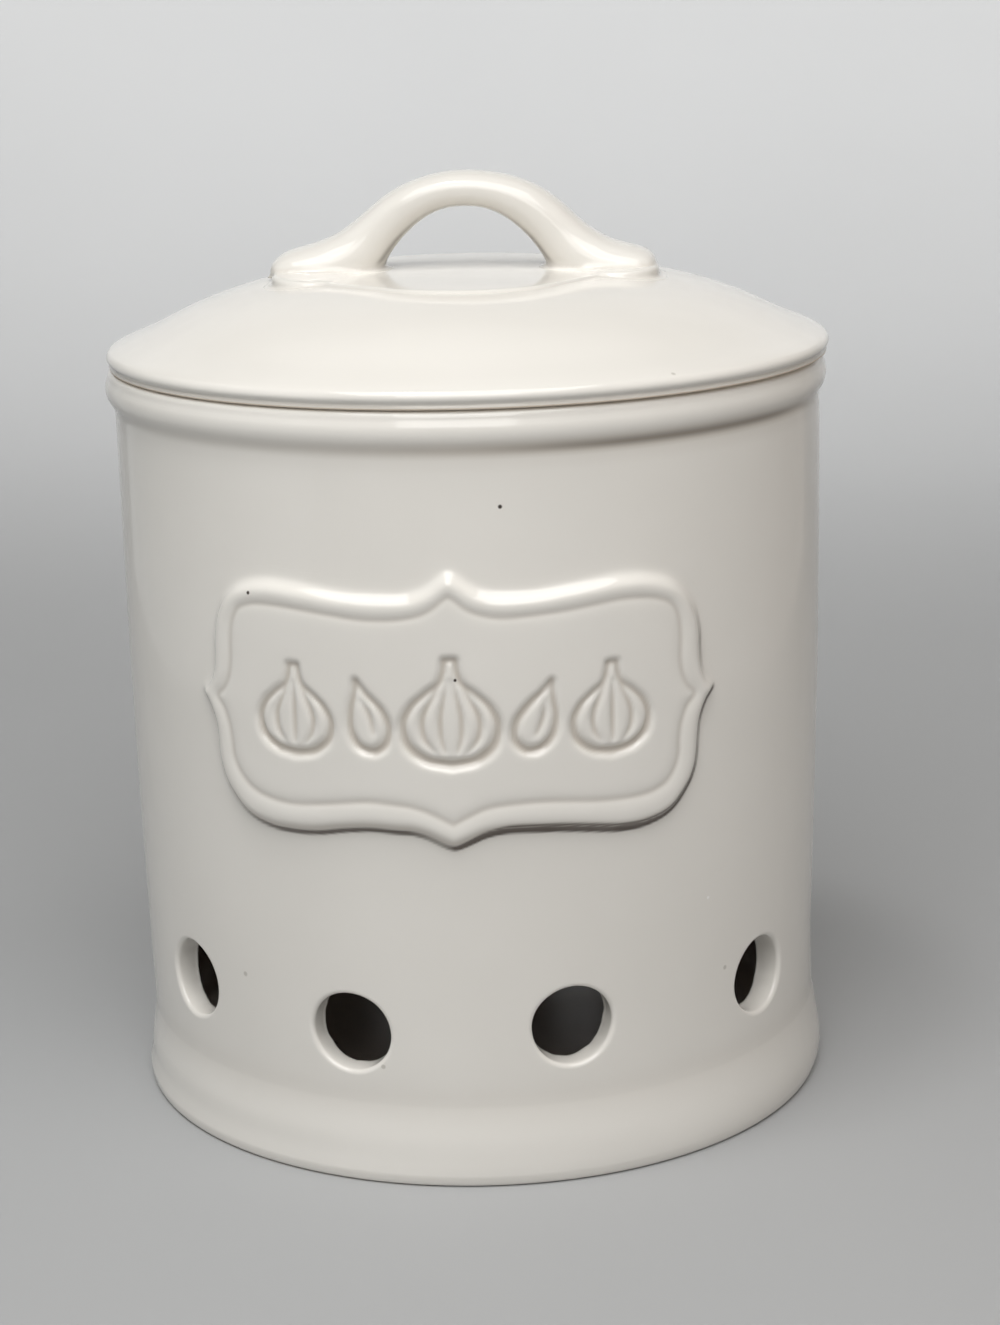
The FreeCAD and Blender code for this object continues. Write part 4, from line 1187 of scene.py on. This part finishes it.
def bisque(name, light, shade):
    """Bare fired clay: matt, peach-white, faintly gritty."""
    mat, nt, bsdf = nodes_of(name)
    n, link = nt.nodes, nt.links
    coord = n.new("ShaderNodeTexCoord")
    noise = n.new("ShaderNodeTexNoise")
    noise.inputs["Scale"].default_value = 260.0
    noise.inputs["Detail"].default_value = 6.0
    link.new(coord.outputs["Object"], noise.inputs["Vector"])
    mix = n.new("ShaderNodeMix")
    mix.data_type = "RGBA"
    mix.inputs[6].default_value = (*light, 1)
    mix.inputs[7].default_value = (*shade, 1)
    link.new(noise.outputs["Fac"], mix.inputs[0])
    link.new(mix.outputs[2], bsdf.inputs["Base Color"])
    bsdf.inputs["Roughness"].default_value = 0.82
    bump = n.new("ShaderNodeBump")
    bump.inputs["Strength"].default_value = 0.8
    bump.inputs["Distance"].default_value = 0.00012
    link.new(noise.outputs["Fac"], bump.inputs["Height"])
    link.new(bump.outputs["Normal"], bsdf.inputs["Normal"])
    return mat


LIGHT, SHADE, POOL_AND_SHADE = (0.858, 0.830, 0.780), (0.828, 0.800, 0.750), (0.50, 0.43, 0.35)


def on_front(x, z):
    """Point of the front surface, wall or plaque, at a distance across and a height."""
    theta = math.asin(x / 68.6)
    h, a, _ = plaque_height(np.array([[theta * 68.0]]), np.array([[z - PLAQUE_Z]]))
    rise = float(h[0, 0]) if a[0, 0] > -2.2 else 0.0
    return tuple(polar(theta, float(wall_radius(theta, z)) + rise, z))


# single iron specks and paler or greyer spots: across, height, radius in mm, colour; the two grey
# spots beside the vent holes at the sides are painted shade standing for shallow dimples in the
# glaze
SPECK, GREY, PALE = (0.05, 0.035, 0.03), (0.62, 0.59, 0.54), (0.97, 0.95, 0.93)
MARKS = [(on_front(x, z), size, tint) for x, z, size, tint in (
    (9.34, 127.36, 0.46, SPECK), (-35.22, 110.82, 0.42, SPECK), (0.95, 97.02, 0.38, SPECK),
    (-41.44, 36.23, 0.60, GREY), (49.24, 34.68, 0.55, GREY), (45.77, 49.82, 0.36, PALE),
    (-14.58, 22.73, 0.55, GREY))] + [((39.31, -56.10, 147.94), 0.6, GREY)]
GLAZE = glaze("cream_glaze", LIGHT, SHADE, POOL_AND_SHADE, marks=MARKS)
# the inside glaze is a darkened copy of the cream glaze: painted shade for the dim inside of the
# pot and under the lid
SHADED_INSIDE_GLAZE = glaze("inside_glaze_painted_shade", (0.50, 0.43, 0.37), (0.46, 0.39, 0.33), POOL_AND_SHADE,
                 roughness=0.30)
BARE = bisque("bare_clay", (0.83, 0.74, 0.64), (0.74, 0.64, 0.53))


def dress(obj, *materials):
    for m in materials:
        obj.data.materials.append(m)


def seat_lid(obj):
    """The lid and all it carries sit a little off the pot's axis."""
    way = Vector((math.sin(LEAN_WAY), -math.cos(LEAN_WAY), 0.0))
    obj.data.transform(Matrix.Translation(way * 0.3 * MM))


def paint(obj, rule):
    """rule(centres in mm) gives each face its material number."""
    mesh = obj.data
    c = np.zeros(len(mesh.polygons) * 3)
    mesh.polygons.foreach_get("center", c)
    mesh.polygons.foreach_set("material_index", rule(c.reshape(-1, 3) / MM).astype(np.int32))


# ----------------------------------------------------------------------------------------
# Pieces
# ----------------------------------------------------------------------------------------
vessel = make_vessel()
dress(vessel, GLAZE, SHADED_INSIDE_GLAZE, BARE)


def vessel_rule(c):
    r = np.hypot(c[:, 0], c[:, 1])
    # faces inside the bore take the darkened inside glaze, which is painted shade
    inner = (r < bore_radius(np.clip(c[:, 2], 20, 140)) + 0.12) & (c[:, 2] > 5.0) & (
        c[:, 2] < 143.0)
    foot = (c[:, 2] < 0.35) & (r < 68.3)
    return np.where(foot, 2, np.where(inner, 1, 0))


paint(vessel, vessel_rule)
pts = vertices(vessel)
rr = np.hypot(pts[:, 0], pts[:, 1])
outer = rr > 65.8
# painted shade in the cove under the rim, most of it towards the right; and a faint darker band
# round the waist above the foot
side = smoothstep(-60.0, 45.0, pts[:, 0]) * np.clip(-pts[:, 1] / 30.0, 0, 1)
cove_shade = np.exp(-((pts[:, 2] - 137.3 - TILT * pts[:, 0] / 69.0) / 1.35) ** 2) * (0.15 + 0.55 * side)
foot_line = np.exp(-((pts[:, 2] - 16.0) / 3.4) ** 2) * 0.10
set_tone(vessel, np.where(outer, np.clip(cove_shade + foot_line, 0, 1), 0))
# painted shade: a thin dark line in the cove under the rim, on the right-hand side only
set_line(vessel, np.where(outer, 0.46 * smoothstep(0.0, 35.0, pts[:, 0]) * (
    1 - smoothstep(56.0, 66.0, pts[:, 0])) * np.exp(
        -((pts[:, 2] - 137.30 - TILT * pts[:, 0] / 69.0) / 0.75) ** 2), 0))
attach(vessel, "vessel")
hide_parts("vessel")

plaque = make_plaque()
dress(plaque, GLAZE)
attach(plaque, "vessel")
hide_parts("label_plaque")

lid = make_lid()
dress(lid, GLAZE, SHADED_INSIDE_GLAZE, BARE)


def lid_rule(c):
    r = np.hypot(c[:, 0], c[:, 1])
    under = DOME_Z - DOME_R + np.sqrt(70.5 ** 2 - np.clip(r - DOME_FLAT, 0, 60) ** 2)
    # the lid's underside within its flange takes the darkened inside glaze, which is painted shade
    below = (r < 59.5) & (c[:, 2] < under + 0.6)
    seat = (c[:, 2] - TILT * c[:, 0] / 69.0 < 144.93) & (r > 61.0) & (c[:, 2] > 137.2)
    tip = (c[:, 2] < 138.0)
    return np.where(seat | tip, 2, np.where(below, 1, 0))


paint(lid, lid_rule)
pts = vertices(lid)
rr = np.hypot(pts[:, 0], pts[:, 1])
set_tone(lid, np.where((rr > 60) & (pts[:, 2] > 144.2), np.exp(
    -((pts[:, 2] - TILT * pts[:, 0] / 69.0 - 145.1) / 0.35) ** 2) * 0.35, 0))
seat_lid(lid)
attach(lid, "lid")
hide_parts("lid")

net = 0.42
pad = make_pad(net)
dress(pad, GLAZE)
seat_lid(pad)
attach(pad, "lid")
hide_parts("handle_pad")

handle = make_handle(net)
dress(handle, GLAZE)
seat_lid(handle)
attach(handle, "lid")
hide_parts("lid_handle")

# ----------------------------------------------------------------------------------------
# Stage, camera and lights
# ----------------------------------------------------------------------------------------


def stage_material(name, colour, rough):
    mat, nt, bsdf = nodes_of(name)
    n, link = nt.nodes, nt.links
    coord = n.new("ShaderNodeTexCoord")
    noise = n.new("ShaderNodeTexNoise")
    noise.inputs["Scale"].default_value = 6.0
    noise.inputs["Detail"].default_value = 8.0
    link.new(coord.outputs["Object"], noise.inputs["Vector"])
    mix = n.new("ShaderNodeMix")
    mix.data_type = "RGBA"
    mix.inputs[6].default_value = (*colour, 1)
    mix.inputs[7].default_value = (*[c * 0.94 for c in colour], 1)
    link.new(noise.outputs["Fac"], mix.inputs[0])
    link.new(mix.outputs[2], bsdf.inputs["Base Color"])
    bsdf.inputs["Roughness"].default_value = rough
    return mat


def make_stage():
    """A plain pale floor that sweeps up into a plain pale backdrop behind the pot."""
    flat, bend, top = 0.60, 0.50, 1.15
    path = [(-4.0, 0.0), (-1.0, 0.0), (0.2, 0.0), (flat, 0.0)]
    for k in range(1, 17):
        a = math.pi / 2 * k / 16
        path.append((flat + bend * math.sin(a), bend * (1 - math.cos(a))))
    path.append((flat + bend, top))
    xs = [-4.0, -1.0, 0.0, 1.0, 4.0]
    verts = [(x, y, z - 0.00002) for y, z in path for x in xs]
    n = len(xs)
    faces = [(i * n + j, i * n + j + 1, (i + 1) * n + j + 1, (i + 1) * n + j)
             for i in range(len(path) - 1) for j in range(n - 1)]
    mesh = bpy.data.meshes.new("studio_floor")
    mesh.from_pydata(verts, [], faces)
    mesh.polygons.foreach_set("use_smooth", [True] * len(faces))
    obj = bpy.data.objects.new("studio_floor", mesh)
    bpy.context.scene.collection.objects.link(obj)
    obj.data.materials.append(stage_material("pale_floor", (0.44, 0.445, 0.45), 0.7))
    return obj


make_stage()

# camera: fitted to the photograph, then turned so that the plaque faces -Y
SCALE = 68.5 * MM
F_PX, DIST, CAM_Z, PITCH, ROLL, YAW = (2697.0, 7.645446, 3.213138, 0.258557, -0.0216207,
                                       0.00996586)
TURN = math.radians(3.54)
cam_data = bpy.data.cameras.new("camera")
cam_data.sensor_fit = "VERTICAL"
cam_data.sensor_height = 36.0
cam_data.lens = F_PX / 1325.0 * 36.0
cam_data.clip_start = 0.01
cam = bpy.data.objects.new("camera", cam_data)
bpy.context.scene.collection.objects.link(cam)
forward = Vector((math.sin(YAW) * math.cos(PITCH), math.cos(YAW) * math.cos(PITCH),
                  -math.sin(PITCH)))
right = Vector((math.cos(YAW), -math.sin(YAW), 0.0))
up = right.cross(forward)
right_r = math.cos(ROLL) * right + math.sin(ROLL) * up
up_r = -math.sin(ROLL) * right + math.cos(ROLL) * up
basis = Matrix((right_r, up_r, -forward)).transposed().to_4x4()
basis.translation = Vector((0, -DIST, CAM_Z)) * SCALE
cam.matrix_world = Matrix.Rotation(TURN, 4, "Z") @ basis
bpy.context.scene.camera = cam


def area(name, place, target, size, power, colour=(1, 1, 1), size_y=None, spread=180):
    data = bpy.data.lights.new(name, "AREA")
    data.energy = power
    data.color = colour
    data.size = size
    if size_y:
        data.shape = "RECTANGLE"
        data.size_y = size_y
    data.spread = math.radians(spread)
    obj = bpy.data.objects.new(name, data)
    bpy.context.scene.collection.objects.link(obj)
    obj.location = place
    d = Vector(target) - Vector(place)
    obj.rotation_euler = d.to_track_quat("-Z", "Y").to_euler()
    obj.visible_camera = False
    return obj


area("key", (-0.225, -0.24, 1.37), (0, 0, 0.15), 0.20, 2.0, (1.0, 0.99, 0.965))
area("top_front", (0.0, -0.45, 0.95), (0, 0, 0.12), 1.0, 8.3, (1.0, 0.995, 0.98), 0.80)
area("front_mid", (0.0, -0.60, 0.50), (0, 0, 0.10), 0.42, 1.2, (1.0, 0.995, 0.985), 0.34)
area("left_panel", (-0.36, 0.0, 0.30), (0, 0, 0.30), 0.72, 0.33, (0.97, 1.0, 1.0), 0.6)
area("right_panel", (0.36, 0.0, 0.30), (0, 0, 0.30), 0.72, 0.27, (1.0, 0.86, 0.74), 0.6)
for side in (-1, 1):
    area("back_left" if side < 0 else "back_right", (0.9 * side, 0.45, 0.9), (0, 1.2, 0.15), 0.6,
         3.0, (1.0, 0.995, 0.985), 0.5, 80)

world = bpy.data.worlds.new("studio")
bpy.context.scene.world = world
world.use_nodes = True
bg = world.node_tree.nodes["Background"]
bg.inputs[0].default_value = (0.95, 0.97, 1.0, 1)
bg.inputs[1].default_value = 0.30
for kind in ("diffuse", "glossy", "transmission", "scatter"):
    setattr(world.cycles_visibility, kind, False)
bpy.context.scene.view_settings.view_transform = "Standard"
